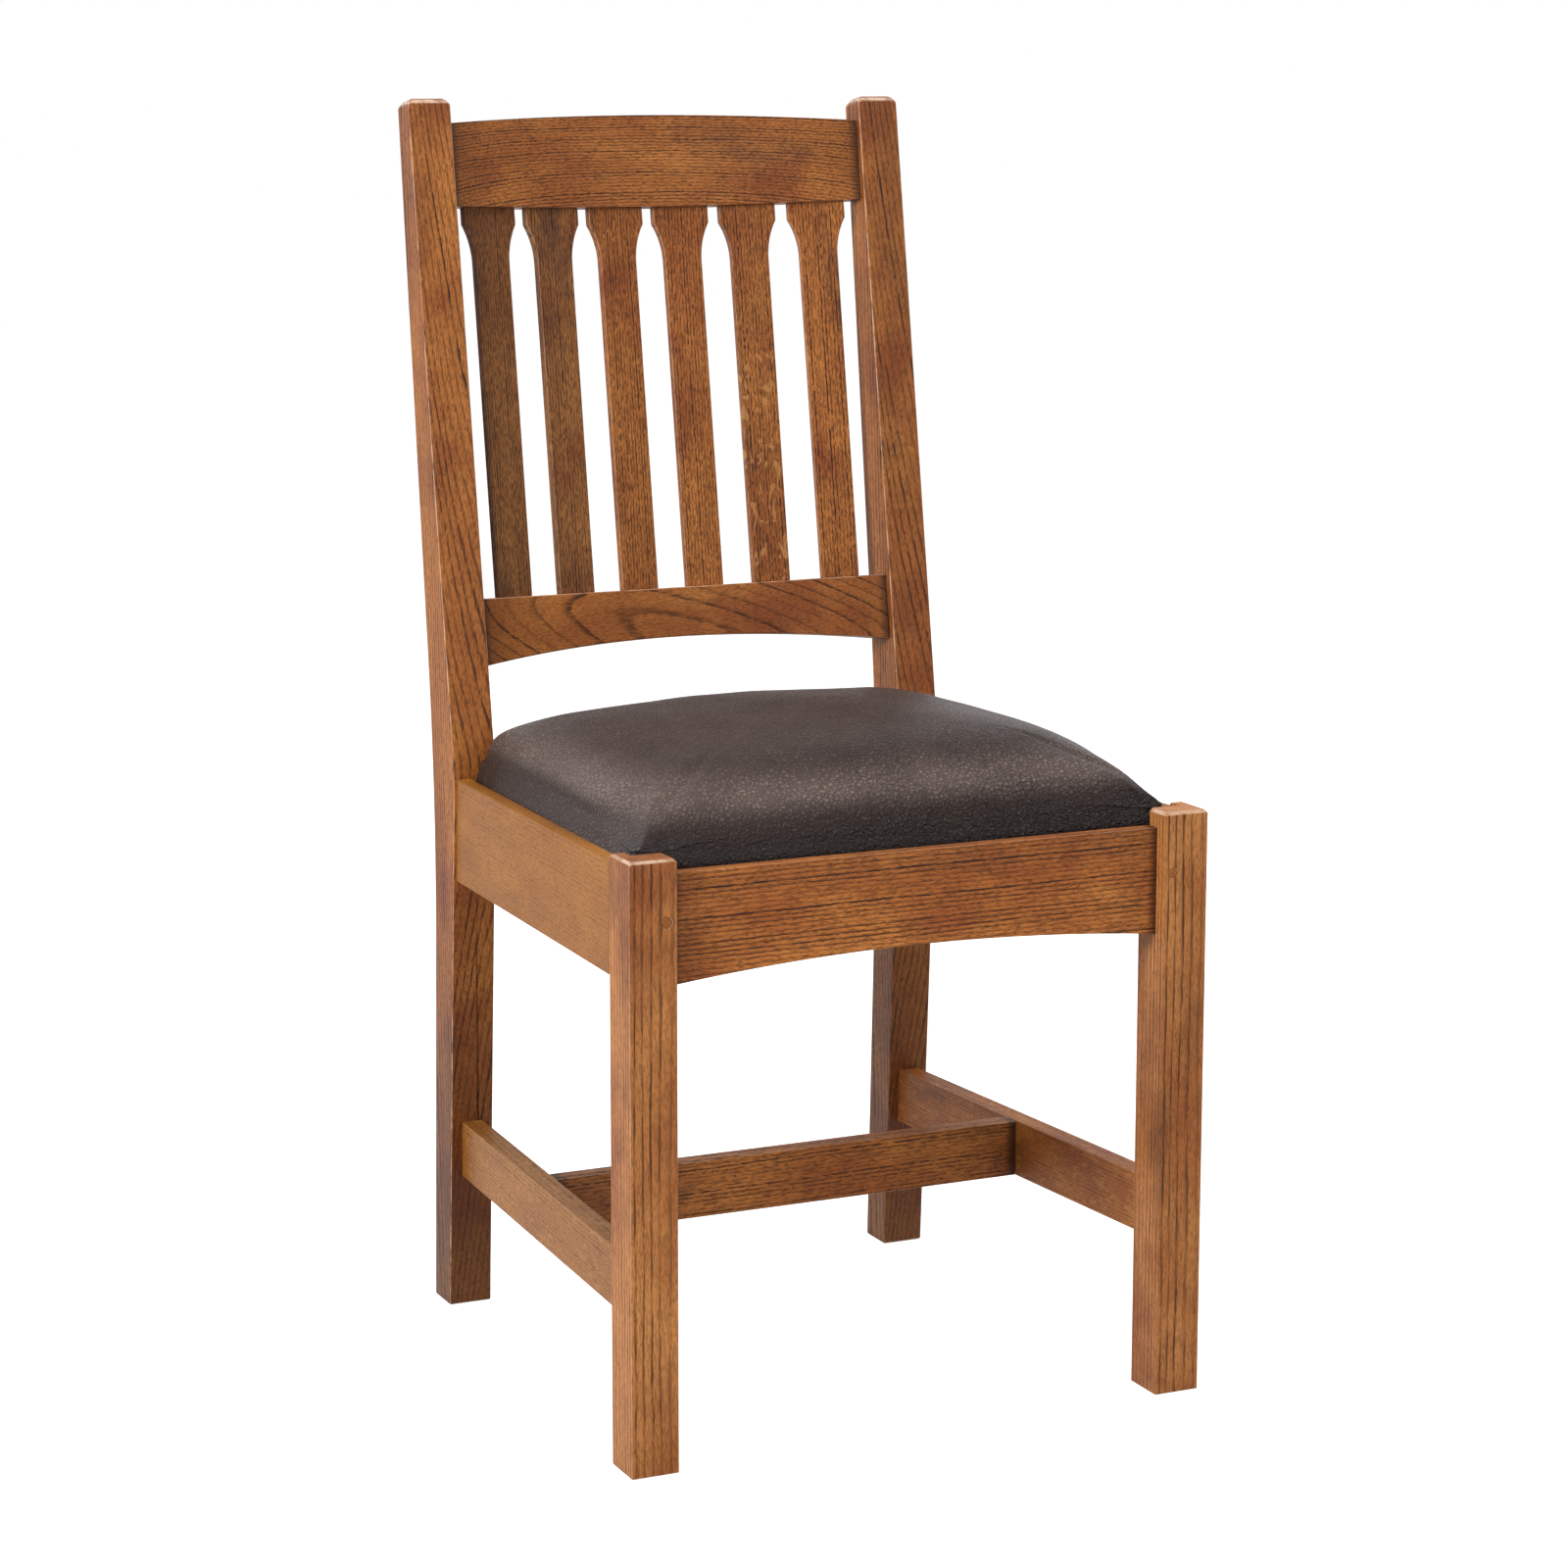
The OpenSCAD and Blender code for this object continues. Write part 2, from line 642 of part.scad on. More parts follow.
// The stretcher between the two side stretchers
module cross_stretcher_body() union() {
    level(cross_top - stretcher_width, cross_top)
        polygon([for (end = [[-1, cross_stretcher_setback], [1, cross_stretcher_setback],
                             [1, cross_back], [-1, cross_back]])
            [end[0] * side_x(end[1], cross_inset), end[1]]]);
    for (side = [-1, 1]) on_side(side) cross_stretcher_tenon(0, 0);
}

// A wood screw that points up from the rail's inner face, or with a gap its hole and pocket
module screw(gap) {
    translate([0, 0, -screw_seat])
        cylinder(h = screw_seat + screw_grip + gap, d = screw_shank + 2 * gap, $fn = round_facets);
    translate([0, 0, -screw_seat - screw_head_height])
        cylinder(h = screw_head_height, d = screw_head, $fn = round_facets);
    if (gap > 0)
        translate([0, 0, -screw_seat - block_side])
            cylinder(h = block_side, d = screw_head + 2 * pocket_gap, $fn = round_facets);
}

// The screws of the right side's two corner blocks, or the cuts for them
module corner_screws(gap) {
    low = block_bottom + block_height / 2 - screw_stagger / 2;
    high = low + screw_stagger;
    front_y = leg_side + screw_place;
    rear_y = rear_block_back - screw_place;
    translate([leg_inner - screw_place, front_rail_back, low]) rotate([90, 0, 0]) screw(gap);
    translate([post_inner - screw_place, rear_rail_face(low), low])
        rotate([-90, 0, 0]) screw(gap);
    for (y = [front_y, rear_y])
        translate([side_x(y, rail_thick), y, high])
            rotate([0, 0, atan(splay)]) rotate([0, 90, 0]) screw(gap);
}

// Corner block behind a front leg
module front_block() difference() {
    level(block_bottom, block_top)
        polygon([[leg_inner - block_gap, front_rail_back],
                 [leg_inner - block_side, front_rail_back],
                 [side_x(leg_side + block_side, rail_thick), leg_side + block_side],
                 [side_x(leg_side + block_gap, rail_thick), leg_side + block_gap],
                 [leg_inner - block_gap, leg_side + block_gap]]);
    corner_screws(screw_gap);
}

// Corner block in front of a back post, its back planed to the lean of the rear rail
module rear_block() difference() {
    level(block_bottom, block_top)
        polygon([[post_inner - block_gap, rear_rail_face(block_bottom) + overrun],
                 [post_inner - block_side, rear_rail_face(block_bottom) + overrun],
                 [side_x(rear_block_back - block_side, rail_thick), rear_block_back - block_side],
                 [side_x(rear_block_back - block_gap, rail_thick), rear_block_back - block_gap],
                 [post_inner - block_gap, rear_block_back - block_gap]]);
    rear_rail_board();
    corner_screws(screw_gap);
}

// Corners of the seat's plan at an inset from its edge, from the front right anticlockwise
function seat_corners(inset) = [
    for (corner = [[1, seat_front + inset], [1, seat_back - inset],
                   [-1, seat_back - inset], [-1, seat_front + inset]])
        [corner[0] * side_x(corner[1], seat_inset + inset), corner[1]]];

// Steps round each corner of the seat, along each side and up the crown
corner_steps = 4;
side_steps = 6;
crown_steps = 7;
// Radius left at a corner of the seat's inner rings
least_corner = 1.5;
// Powers that shape the crown: how full its section is, and how late its plan turns square
crown_power_share = 3;
square_power_share = 2;

// Height of the ring between the board and the shoulder
side_middle_share = 0.6;
side_middle = mix(board_top, shoulder_height, side_middle_share);

// Ring of points round the seat's plan: the corners are round, and the sides between them
// are drawn in
function seat_ring(inset, radius, draw) =
    let (corners = seat_corners(inset))
    [for (q = [0 : 3])
        let (corner = corners[q])
        let (next = corners[(q + 1) % 4])
        let (before = unit(corners[(q + 3) % 4] - corner))
        let (after = unit(next - corner))
        let (half = acos(before * after) / 2)
        let (middle = corner + unit(before + after) * radius / sin(half))
        let (first = unit(corner + before * radius / tan(half) - middle))
        let (last = unit(corner + after * radius / tan(half) - middle))
        let (sweep = half_turn - 2 * half)
        let (from = corner + after * radius / tan(half))
        let (to = next - after * radius)
        let (inward = [-after[1], after[0]])
        each concat(
            [for (i = [0 : corner_steps])
                middle + radius * (sin(sweep - sweep * i / corner_steps) * first
                                   + sin(sweep * i / corner_steps) * last) / sin(sweep)],
            [for (i = [1 : side_steps])
                let (share = i / (side_steps + 1))
                mix(from, to, share) + inward * draw * 4 * share * (1 - share)])];

// A level ring of the seat's side
function side_ring(inset, height, draw) =
    [for (point = seat_ring(inset, max(seat_corner - inset, least_corner), draw))
        [point[0], point[1], height]];

// Rings of the crown from the middle out to the shoulder, at a depth under the leather's face.
// They turn from round to the seat's own plan on the way out.
seat_middle = [0, (seat_front + seat_back) / 2];
seat_half_depth = (seat_back - seat_front) / 2;
seat_half_width = side_x(seat_middle[1], seat_inset);
function crown_rings(depth) =
    let (rim = seat_ring(seat_lean + depth, seat_corner + seat_lean, seat_draw))
    let (half_width = seat_half_width - seat_lean - depth)
    let (half_depth = seat_half_depth - seat_lean - depth)
    [for (i = [1 : crown_steps])
        let (out = sin(90 * i / crown_steps))
        let (height = shoulder_height - depth + seat_crown * sqrt(1 - pow(out, crown_power_share)))
        [for (point = rim)
            let (away = point - seat_middle)
            let (round_reach = norm([away[0] / half_width, away[1] / half_depth]))
            let (place = seat_middle + out * mix(away / round_reach, away, pow(out, square_power_share)))
            [place[0], place[1], height]]];
function crown_peak(depth) =
    [seat_middle[0], seat_middle[1], shoulder_height - depth + seat_crown];

function reversed(list) = [for (i = [len(list) - 1 : -1 : 0]) list[i]];

// Closed mesh from a first point through rings of equal count to a last point. The inner
// rings come back under the outer ones, and their facets are split along the same diagonals.
module ring_solid(first, outer, inner, last)
    let (rings = concat(outer, inner))
    let (count = len(rings[0]))
    let (end = 1 + count * len(rings))
    polyhedron(
        concat([first], [for (ring = rings) each ring], [last]),
        concat(
            [for (i = [0 : count - 1]) [0, 1 + (i + 1) % count, 1 + i]],
            [for (r = [0 : len(rings) - 2])
                for (i = [0 : count - 1])
                    let (near = 1 + r * count)
                    let (far = near + count)
                    let (next = (i + 1) % count)
                    each r < len(outer)
                        ? [[near + i, near + next, far + next], [near + i, far + next, far + i]]
                        : [[near + i, near + next, far + i], [near + next, far + next, far + i]]],
            [for (i = [0 : count - 1]) [end, end - count + i, end - count + (i + 1) % count]]));

// Leather drawn over the padding, down round the board and under it
module cover_skin() ring_solid(
    crown_peak(0),
    concat(
        crown_rings(0),
        [side_ring(seat_lean / 2, side_middle, seat_draw / 2)],
        [side_ring(0, board_top, 0)],
        [side_ring(0, cover_bottom + leather_thick, 0)],
        [side_ring(leather_thick, cover_bottom, 0)],
        [side_ring(leather_turn, cover_bottom, 0)],
        [side_ring(leather_turn, board_bottom, 0)]),
    concat(
        [side_ring(leather_thick, board_bottom, 0)],
        [side_ring(leather_thick, board_top, 0)],
        [side_ring(leather_thick + seat_lean / 2, side_middle, seat_draw / 2)],
        reversed(crown_rings(leather_thick))),
    crown_peak(leather_thick));

// Padding between the board and the leather
module padding() ring_solid(
    crown_peak(board_inset),
    concat(
        crown_rings(board_inset),
        [side_ring(board_inset + seat_lean / 2, side_middle, seat_draw / 2)],
        [side_ring(board_inset, board_top, 0)]),
    [],
    [seat_middle[0], seat_middle[1], board_top]);

// Plan of the board and the cloth under it
module seat_plan(inset) polygon(seat_ring(inset, max(seat_corner - inset, least_corner), 0));

// Places of the tacks, between the corner blocks, along the edge of the turned leather
tack_shares = [0, 0.25, 0.5, 0.75, 1];
module at_tacks()
    let (inset = leather_turn + tack_room / 2)
    let (front_reach = leg_inner - block_side - tack_head)
    let (back_reach = post_inner - block_side - tack_head)
    let (side_first = leg_side + block_side + tack_head)
    let (side_last = rear_block_back - block_side - tack_head)
    for (share = tack_shares) {
        let (y = mix(side_first, side_last, share))
        for (side = [-1, 1])
            translate([side * side_x(y, seat_inset + inset), y, cover_bottom]) children();
        translate([mix(-front_reach, front_reach, share), seat_front + inset, cover_bottom])
            children();
        translate([mix(-back_reach, back_reach, share), seat_back - inset, cover_bottom])
            children();
    }

// A tack, or with a gap the hole for its shank
module tack(gap) {
    translate([0, 0, -gap])
        cylinder(h = leather_thick + tack_depth + 2 * gap, d = tack_shank + 2 * gap,
                 $fn = round_facets);
    if (gap == 0)
        translate([0, 0, -tack_head_thick])
            cylinder(h = tack_head_thick, d = tack_head, $fn = round_facets);
}

// The pieces by name

module front_leg_left() color(oak) centred() on_side(-1) leg();
module front_leg_right() color(oak) centred() leg();
module back_post_left() color(oak) centred() on_side(-1) post();
module back_post_right() color(oak) centred() post();
module front_seat_rail() color(oak) centred() front_rail();
module side_seat_rail_left() color(oak) centred() on_side(-1) side_rail();
module side_seat_rail_right() color(oak) centred() side_rail();
module rear_seat_rail() color(oak_dark) centred() rear_rail();
module rail_pin_left() color(oak_dark) centred() on_side(-1) rail_pin(0, 0, 0);
module rail_pin_right() color(oak_dark) centred() rail_pin(0, 0, 0);
module crest_rail() color(oak) centred() crest();
module lower_back_rail() color(oak) centred() lower_rail();
module slat_piece(i) color(oak) centred() slat(i);
module side_stretcher_left() color(oak) centred() on_side(-1) side_stretcher();
module side_stretcher_right() color(oak) centred() side_stretcher();
module cross_stretcher() color(oak) centred() cross_stretcher_body();
module corner_block_front_left() color(oak_dark) centred() on_side(-1) front_block();
module corner_block_front_right() color(oak_dark) centred() front_block();
module corner_block_rear_left() color(oak_dark) centred() on_side(-1) rear_block();
module corner_block_rear_right() color(oak_dark) centred() rear_block();
module corner_block_screws() color(steel) centred()
    for (side = [-1, 1]) on_side(side) corner_screws(0);
module seat_board() color(ply) centred() difference() {
    level(board_bottom, board_top) seat_plan(board_inset);
    at_tacks() tack(screw_gap);
}
module seat_foam() color(foam_colour) centred() padding();
module seat_cover() color(hide) centred() cover_skin();
module dust_cover() color(cloth_colour) centred()
    level(board_bottom - cloth_thick, board_bottom) seat_plan(leather_turn + tack_room);
module cover_tacks() color(steel) centred() at_tacks() tack(0);

front_leg_left();
front_leg_right();
back_post_left();
back_post_right();
front_seat_rail();
side_seat_rail_left();
side_seat_rail_right();
rear_seat_rail();
rail_pin_left();
rail_pin_right();
crest_rail();
lower_back_rail();
slat_piece(0);  // slat_1
slat_piece(1);  // slat_2
slat_piece(2);  // slat_3
slat_piece(3);  // slat_4
slat_piece(4);  // slat_5
slat_piece(5);  // slat_6
side_stretcher_left();
side_stretcher_right();
cross_stretcher();
corner_block_front_left();
corner_block_front_right();
corner_block_rear_left();
corner_block_rear_right();
corner_block_screws();
seat_board();
seat_foam();
seat_cover();
dust_cover();
cover_tacks();
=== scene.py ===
"""Looks of the wooden side chair: stained oak, eased edges, the leather seat, light and camera."""

import math

import bpy
import numpy as np
from mathutils import Matrix, Vector, noise
from mathutils.bvhtree import BVHTree


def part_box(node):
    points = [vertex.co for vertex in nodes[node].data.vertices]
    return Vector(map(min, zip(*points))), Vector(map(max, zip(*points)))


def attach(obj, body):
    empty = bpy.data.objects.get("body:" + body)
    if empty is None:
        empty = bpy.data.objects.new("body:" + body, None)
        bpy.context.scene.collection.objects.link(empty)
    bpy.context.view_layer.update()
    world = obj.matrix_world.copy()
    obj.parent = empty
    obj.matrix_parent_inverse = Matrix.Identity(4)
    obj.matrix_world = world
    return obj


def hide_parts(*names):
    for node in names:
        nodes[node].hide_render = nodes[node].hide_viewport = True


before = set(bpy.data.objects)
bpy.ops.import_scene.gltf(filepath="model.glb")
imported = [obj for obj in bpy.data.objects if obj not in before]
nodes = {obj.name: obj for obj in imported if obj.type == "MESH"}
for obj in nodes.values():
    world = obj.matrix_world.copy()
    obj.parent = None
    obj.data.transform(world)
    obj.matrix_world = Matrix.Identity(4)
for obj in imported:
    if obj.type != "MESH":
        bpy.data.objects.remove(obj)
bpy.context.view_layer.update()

# Camera, as the photograph was taken, in metres, degrees and shares of the frame
CAMERA_PLACE = (-1.31342, -2.84488, 1.04861)
CAMERA_TILT, CAMERA_ROLL, CAMERA_YAW = 80.47, 0.06, -24.956
CAMERA_LENS, SENSOR = 90.345, 36.0
CAMERA_SHIFT = -0.05

# Light
WORLD_COLOUR, WORLD_LOW, WORLD_HIGH, WORLD_SPAN = (1.0, 0.99, 0.98), 0.10, 0.36, (-0.1, 0.9)
KEY = dict(place=(-3.2, -1.3, 2.1), size=1.4, power=100.0, colour=(1.0, 0.98, 0.95))
FILL = dict(place=(0.8, -3.4, 1.7), size=2.4, power=30.0, colour=(1.0, 0.99, 0.97))
TOP = dict(place=(1.0, 0.2, 2.9), size=1.0, power=32.0, colour=(1.0, 1.0, 1.0))
RIM = dict(place=(-0.5, 3.0, 1.9), size=1.4, power=26.0, colour=(1.0, 1.0, 1.0))
AIM = (0.0, 0.0, 0.5)
FLOOR_HALF, FLOOR_DROP = 12.0, 0.0004
FLOOR_COLOUR = (0.55, 0.55, 0.55)
FLOOR_GLOW = 0.92

# Shape of the eased edges
EDGE_RADIUS, POST_RADIUS, SLAT_RADIUS, PIN_RADIUS = 0.0014, 0.0021, 0.0010, 0.0003
PLY_RADIUS, CLOTH_RADIUS = 0.0006, 0.0002
EDGE_STEPS, NORMAL_WEIGHT = 3, 100
EDGE_ANGLE = math.radians(28)
WELD_DISTANCE = 0.00002
FLAT_ANGLE = math.radians(0.3)

# Lean of the back and splay of the sides, as run over rise in millimetres, as in the CAD
BACK_LEAN = math.atan(89 / 545.5)
SIDE_SPLAY = math.atan(22 / 379)
POST_LEAN_SHARE = 0.4  # a post's grain follows part of the lean, because it is bent

# Distance from a board's middle to its joints
FRONT_RAIL_HALF, BACK_RAIL_HALF, SLAT_HALF = 0.204, 0.1857, 0.205

# Slip seat, as in the CAD
SEAT_HALF_FRONT, SEAT_HALF_BACK = 0.2300, 0.2074
SEAT_CORNER, SEAT_LEAST_CORNER = 0.012, 0.0015
SEAT_LEAN, SEAT_DRAW, SEAT_CROWN = 0.006, 0.004, 0.054
LEATHER_THICK, BOARD_THICK, LEATHER_TURN, LAYER_GAP = 0.0016, 0.0095, 0.024, 0.0003
CROWN_POWER, SQUARE_POWER, LEAN_POWER = 3, 2, 1.2
HAIR = 0.0001  # keeps the leather and the board it lies on from sharing a face
CUT_EASE, CUT_EDGE = 0.0012, 0.0002  # rounding of the leather's cut edge under the board

# Steps of the leather's mesh
CORNER_STEPS, SIDE_STEPS, CROWN_STEPS, WALL_STEPS = 16, 14, 20, 8

# The padding's simulation: how much smaller it starts, its grain and how far a point may move
SLACK, VOXEL, SIM_CROWN_STEPS, SIM_FRAMES = 0.0025, 0.005, 12, 20
HELD_ABOVE_BOARD, CAP, CAP_RISE = 0.004, 0.006, 0.020
CLOTH_STIFFNESS = dict(tension_stiffness=18.0, compression_stiffness=18.0, shear_stiffness=6.0,
                       bending_stiffness=1.5)
CLOTH_QUALITY, CLOTH_MASS, PADDING_PRESSURE = 6, 0.6, 4.0

# How far the leather follows the simulation: where a ray starts behind it, how far a point may
# go in or out, and how much further in along the soft front, between two distances from it
RAY_BACK, IN_LIMIT, OUT_LIMIT = 0.015, 0.0010, 0.0038
FRONT_SOFT, SOFT_FROM, SOFT_TO = 0.0075, 0.055, 0.130
FOLLOW_RISE = 2.5  # height over which it begins to follow, in heights of the held part

# Pleats at the corners: size, how far from the bisector, and the lips beside each fold
PLEAT_DEPTH, PLEAT_WIDTH, PLEAT_REACH = 0.0024, 0.0014, 0.024
PLEAT_START, PLEAT_ASIDE = 0.004, 0.0005
LIP_AWAY, LIP_WIDTH, LIP_SHARE = 2.6, 1.3, 0.30

# Puckers beside the corners: depth, place and width of their field, and distance between two
PUCKER, PUCKER_AWAY, PUCKER_FIELD, PUCKER_PITCH = 0.0004, 0.020, 0.013, 0.0085

# Unevenness of the padding: depth, and turns a metre of its two noises and where these start
UNEVEN, UNEVEN_SCALE, FINER_SCALE, FINER_SHARE, UNEVEN_LEVEL = 0.0016, 11.0, 31.0, 0.35, 0.4
UNEVEN_SEED, FINER_SEED = Vector((3.1, 7.7, 1.9)), Vector((9.2, 2.4, 5.5))

# Roll of the leather over the padding's edge and the hollow inside it, as height above the
# shoulder and width, and the fullness of the sides and the back
ROLL, ROLL_UP, ROLL_WIDE = 0.0020, 0.012, 0.009
HOLLOW_SHARE, HOLLOW_UP, HOLLOW_WIDE = 0.5, 0.034, 0.011
FULLNESS, FULL_FROM_FRONT, FULL_TO_BACK = 0.0046, 0.020, 0.110
FULL_UP, FULL_EASES, FULL_ENDS = 0.014, 0.034, 0.053

# Heights from the board's top or the shoulder where the side, its wall and the top fade in
SIDE_FROM, SIDE_FULL, WALL_EASES, WALL_ENDS = -0.002, 0.008, -0.002, 0.016
TOP_FROM, TOP_FULL = -0.004, 0.012

# How much lower the leather is pulled at the corners, and how far along the sides
CORNER_DROP, CORNER_REACH, BACK_DROP_SHARE, DROP_POWER = 0.011, 0.043, 0.1, 5

# Oak, linear colours
OAK_LIGHT = (0.58, 0.215, 0.048)
OAK_MID = (0.350, 0.104, 0.023)
OAK_RED = (0.225, 0.046, 0.012)
OAK_DARK = (0.024, 0.0085, 0.005)
OAK_SMOKE = (0.114, 0.041, 0.018)
OAK_WORN = (0.72, 0.50, 0.36)
OAK_RAY = (0.52, 0.235, 0.070)
WARM_LIGHT, WARM_MID = (0.69, 0.290, 0.088), (0.400, 0.130, 0.032)
DUSK_LIGHT, DUSK_MID = (0.46, 0.190, 0.055), (0.26, 0.092, 0.024)
SLAT_TONES = (0.86, 0.94, 0.99, 1.08, 0.98, 1.10)
GOLD_LIGHT, GOLD_MID, GOLD_RED = (0.45, 0.178, 0.030), (0.34, 0.125, 0.018), (0.28, 0.086, 0.012)
BLOCK_LIGHT, BLOCK_MID, BLOCK_RED = (0.52, 0.33, 0.16), (0.43, 0.25, 0.115), (0.40, 0.21, 0.09)
BLOCK_DARK = (0.15, 0.075, 0.032)

# Oak's figure. Each noise: its places a metre along the grain as a share of those across it,
# turns a metre, detail and roughness
DRIFT, WANDER, RIPPLE = (0.16, 9.0, 1.0, 0.4), (0.12, 60.0, 2.0, 0.5), (0.35, 260.0, 1.0, 0.5)
DASH, FIBRE = (0.17, 1150.0, 1.0, 0.5), (0.03, 900.0, 3.0, 0.7)
STAIN, SMOKE = (0.45, 17.0, 3.0, 0.6), (0.4, 13.0, 4.0, 0.65)
# The same without the share, because it is drawn out otherwise or not at all
STREAK_SCALE, STREAK_DETAIL, GLAZE, RUB = 420.0, (2.0, 0.6), (11.0, 2.0, 0.6), (55.0, 3.0, 0.6)
RAY, RAY_STRETCH = (150.0, 2.0, 0.5, 0.9), (1.0, 0.5, 0.42)
# From where to where each noise counts
DASH_SPAN, STREAK_SPAN, FIBRE_SPAN, RAY_SPAN = (0.50, 0.59), (0.42, 0.56), (0.35, 0.7), (0.57, 0.63)
STAIN_SPAN, GLAZE_SPAN, SMOKE_SPAN, RUB_SPAN = (0.3, 0.7), (0.50, 0.72), (0.50, 0.74), (0.42, 0.60)
# How far two of them move a ring, in metres
WANDER_REACH, RIPPLE_REACH = 0.0028, 0.0009
# A ring is darkest from EARLY_RISE of its width on, EARLY_DARK where its porous part ends and
# LATE_DARK when it has faded, over LATE_FADE of its width
EARLY_RISE, EARLY_DARK, LATE_FADE, LATE_DARK = 0.06, 0.85, 0.16, 0.08
# Share of stain that a ring holds at least, and how much more the darkest one holds
HELD_LEAST, HELD_MORE = 0.38, 0.85
# Steps between the grains of two boards, so that no two are cut from the same place
SEED_STEPS = (3.7, 5.3, 2.9)
# Where stain gathers at a joint, with painted contact shade, as reach and strength, and where
# painted shade darkens the posts' feet, as heights
STAIN_AND_SHADE_BROAD, STAIN_AND_SHADE_TIGHT = (0.045, 0.16), (0.011, 0.85)
FOOT_TOP, FOOT_LOW = 0.42, 0.02
# How squarely the shading normal looks along the board on its faces, and on its worn arrises
ARRIS_FACE, ARRIS_WORN = 0.93, 0.76
OAK_ROUGH, PORE_ROUGH, OAK_GLOSS, PORE_DEPTH, PORE_STRENGTH = 0.46, 0.20, 0.20, 0.00022, 0.7

# Leather
LEATHER_DEEP, LEATHER_MID = (0.016, 0.008, 0.006), (0.056, 0.030, 0.0235)
# The rubbed tint also stands for a painted highlight on the ridge over the front
LEATHER_TOP, LEATHER_RUBBED_AND_HIGHLIGHT = (0.100, 0.059, 0.049), (0.265, 0.188, 0.165)
# Painted shade for the leather's low rim by the rails
LEATHER_RIM_SHADE = (0.010, 0.0050, 0.0040)
# Cells a metre, how far from its edge a cell is level, as a share of its size, and its height
PEBBLE_SCALE, PEBBLE_EDGE, PEBBLE_HEIGHT = 270.0, 0.34, 0.8
FINE_SCALE, FINE_EDGE, FINE_HEIGHT = 640.0, 0.4, 0.30
CREASE_SCALE, CREASE_EDGE, CREASE_HEIGHT, CREASE_STRETCH = 130.0, 0.10, -1.3, (1.0, 1.7, 1.0)
# Noise that stirs the cells: turns a metre, detail and reach in metres
PEBBLE_STIR, CREASE_STIR = (240.0, 2.0, 0.0036), (70.0, 3.0, 0.014)
# Creases are fainter towards the left, from one x to another
USED_LEFT, USED_RIGHT, USED_LEAST = -0.12, 0.12, 0.35
# Each noise: turns a metre, detail and roughness, then from where to where it counts, and what
# it is at both ends of that
USED, USED_SPAN = (9.0, 2.0, 0.5), (0.42, 0.62, 0.0, 1.0)
CLOUD, CLOUD_SPAN = (16.0, 4.0, 0.6), (0.3, 0.7, 0.30, 0.78)
DRY, DRY_SPAN = (38.0, 3.0, 0.6), (0.40, 0.70, 0.35, 0.90)
PATCH, PATCH_SPAN = (24.0, 3.0, 0.6), (0.25, 0.75, 0.58, 0.84)
# Heights above the seat's lowest edge: the lighter band over the front, partly rubbed leather
# and partly painted highlight, and the dark rim of painted shade
BAND_FROM, BAND_FULL, BAND_EASES, BAND_ENDS = 0.032, 0.050, 0.052, 0.074
RIM_FULL, RIM_ENDS = 0.014, 0.056
# Distances behind the front where the rim's painted shade grows fainter, and what is left of it
RIM_FRONT, RIM_SIDE, RIM_LEFT = 0.012, 0.050, 0.25
LEATHER_GLOSS, LEATHER_DEPTH, LEATHER_STRENGTH = 0.18, 0.00120, 0.9
LEATHER_ROUGH, PEBBLE_SMOOTH = (0.46, 0.41), -0.10

# Other materials
PLY_LIGHT, PLY_MID, PLY_DARK = (0.56, 0.40, 0.23), (0.47, 0.31, 0.165), (0.30, 0.18, 0.09)
PLY_VENEER, PLY_STRETCH = 0.0016, ((0.35, 4.0, 1.0), (0.05, 1.0, 1.0))
PLY_FIGURE_SCALE, PLY_GRAIN_SCALE, PLY_GLOSS, PLY_DEPTH = 22.0, 700.0, 0.3, 0.0002
CLOTH_DARK, CLOTH_LIGHT = (0.008, 0.008, 0.009), (0.028, 0.027, 0.027)
THREADS, CLOTH_STIR_SCALE, CLOTH_STIR = 2 * math.pi / 0.0016, 90.0, 2.0
CLOTH_GLOSS, CLOTH_DEPTH = 0.2, 0.0003
TARNISH_SCALE, TARNISH_ROUGH, STEEL_SCALE, STEEL_DEPTH = 260.0, 0.20, 2600.0, 0.00003
SCREW_COLOUR, SCREW_STAIN, SCREW_ROUGH = (0.62, 0.60, 0.56), (0.36, 0.33, 0.29), 0.28
TACK_COLOUR, TACK_STAIN, TACK_ROUGH = (0.16, 0.17, 0.19), (0.08, 0.075, 0.07), 0.32


# ---- Nodes of a material ----

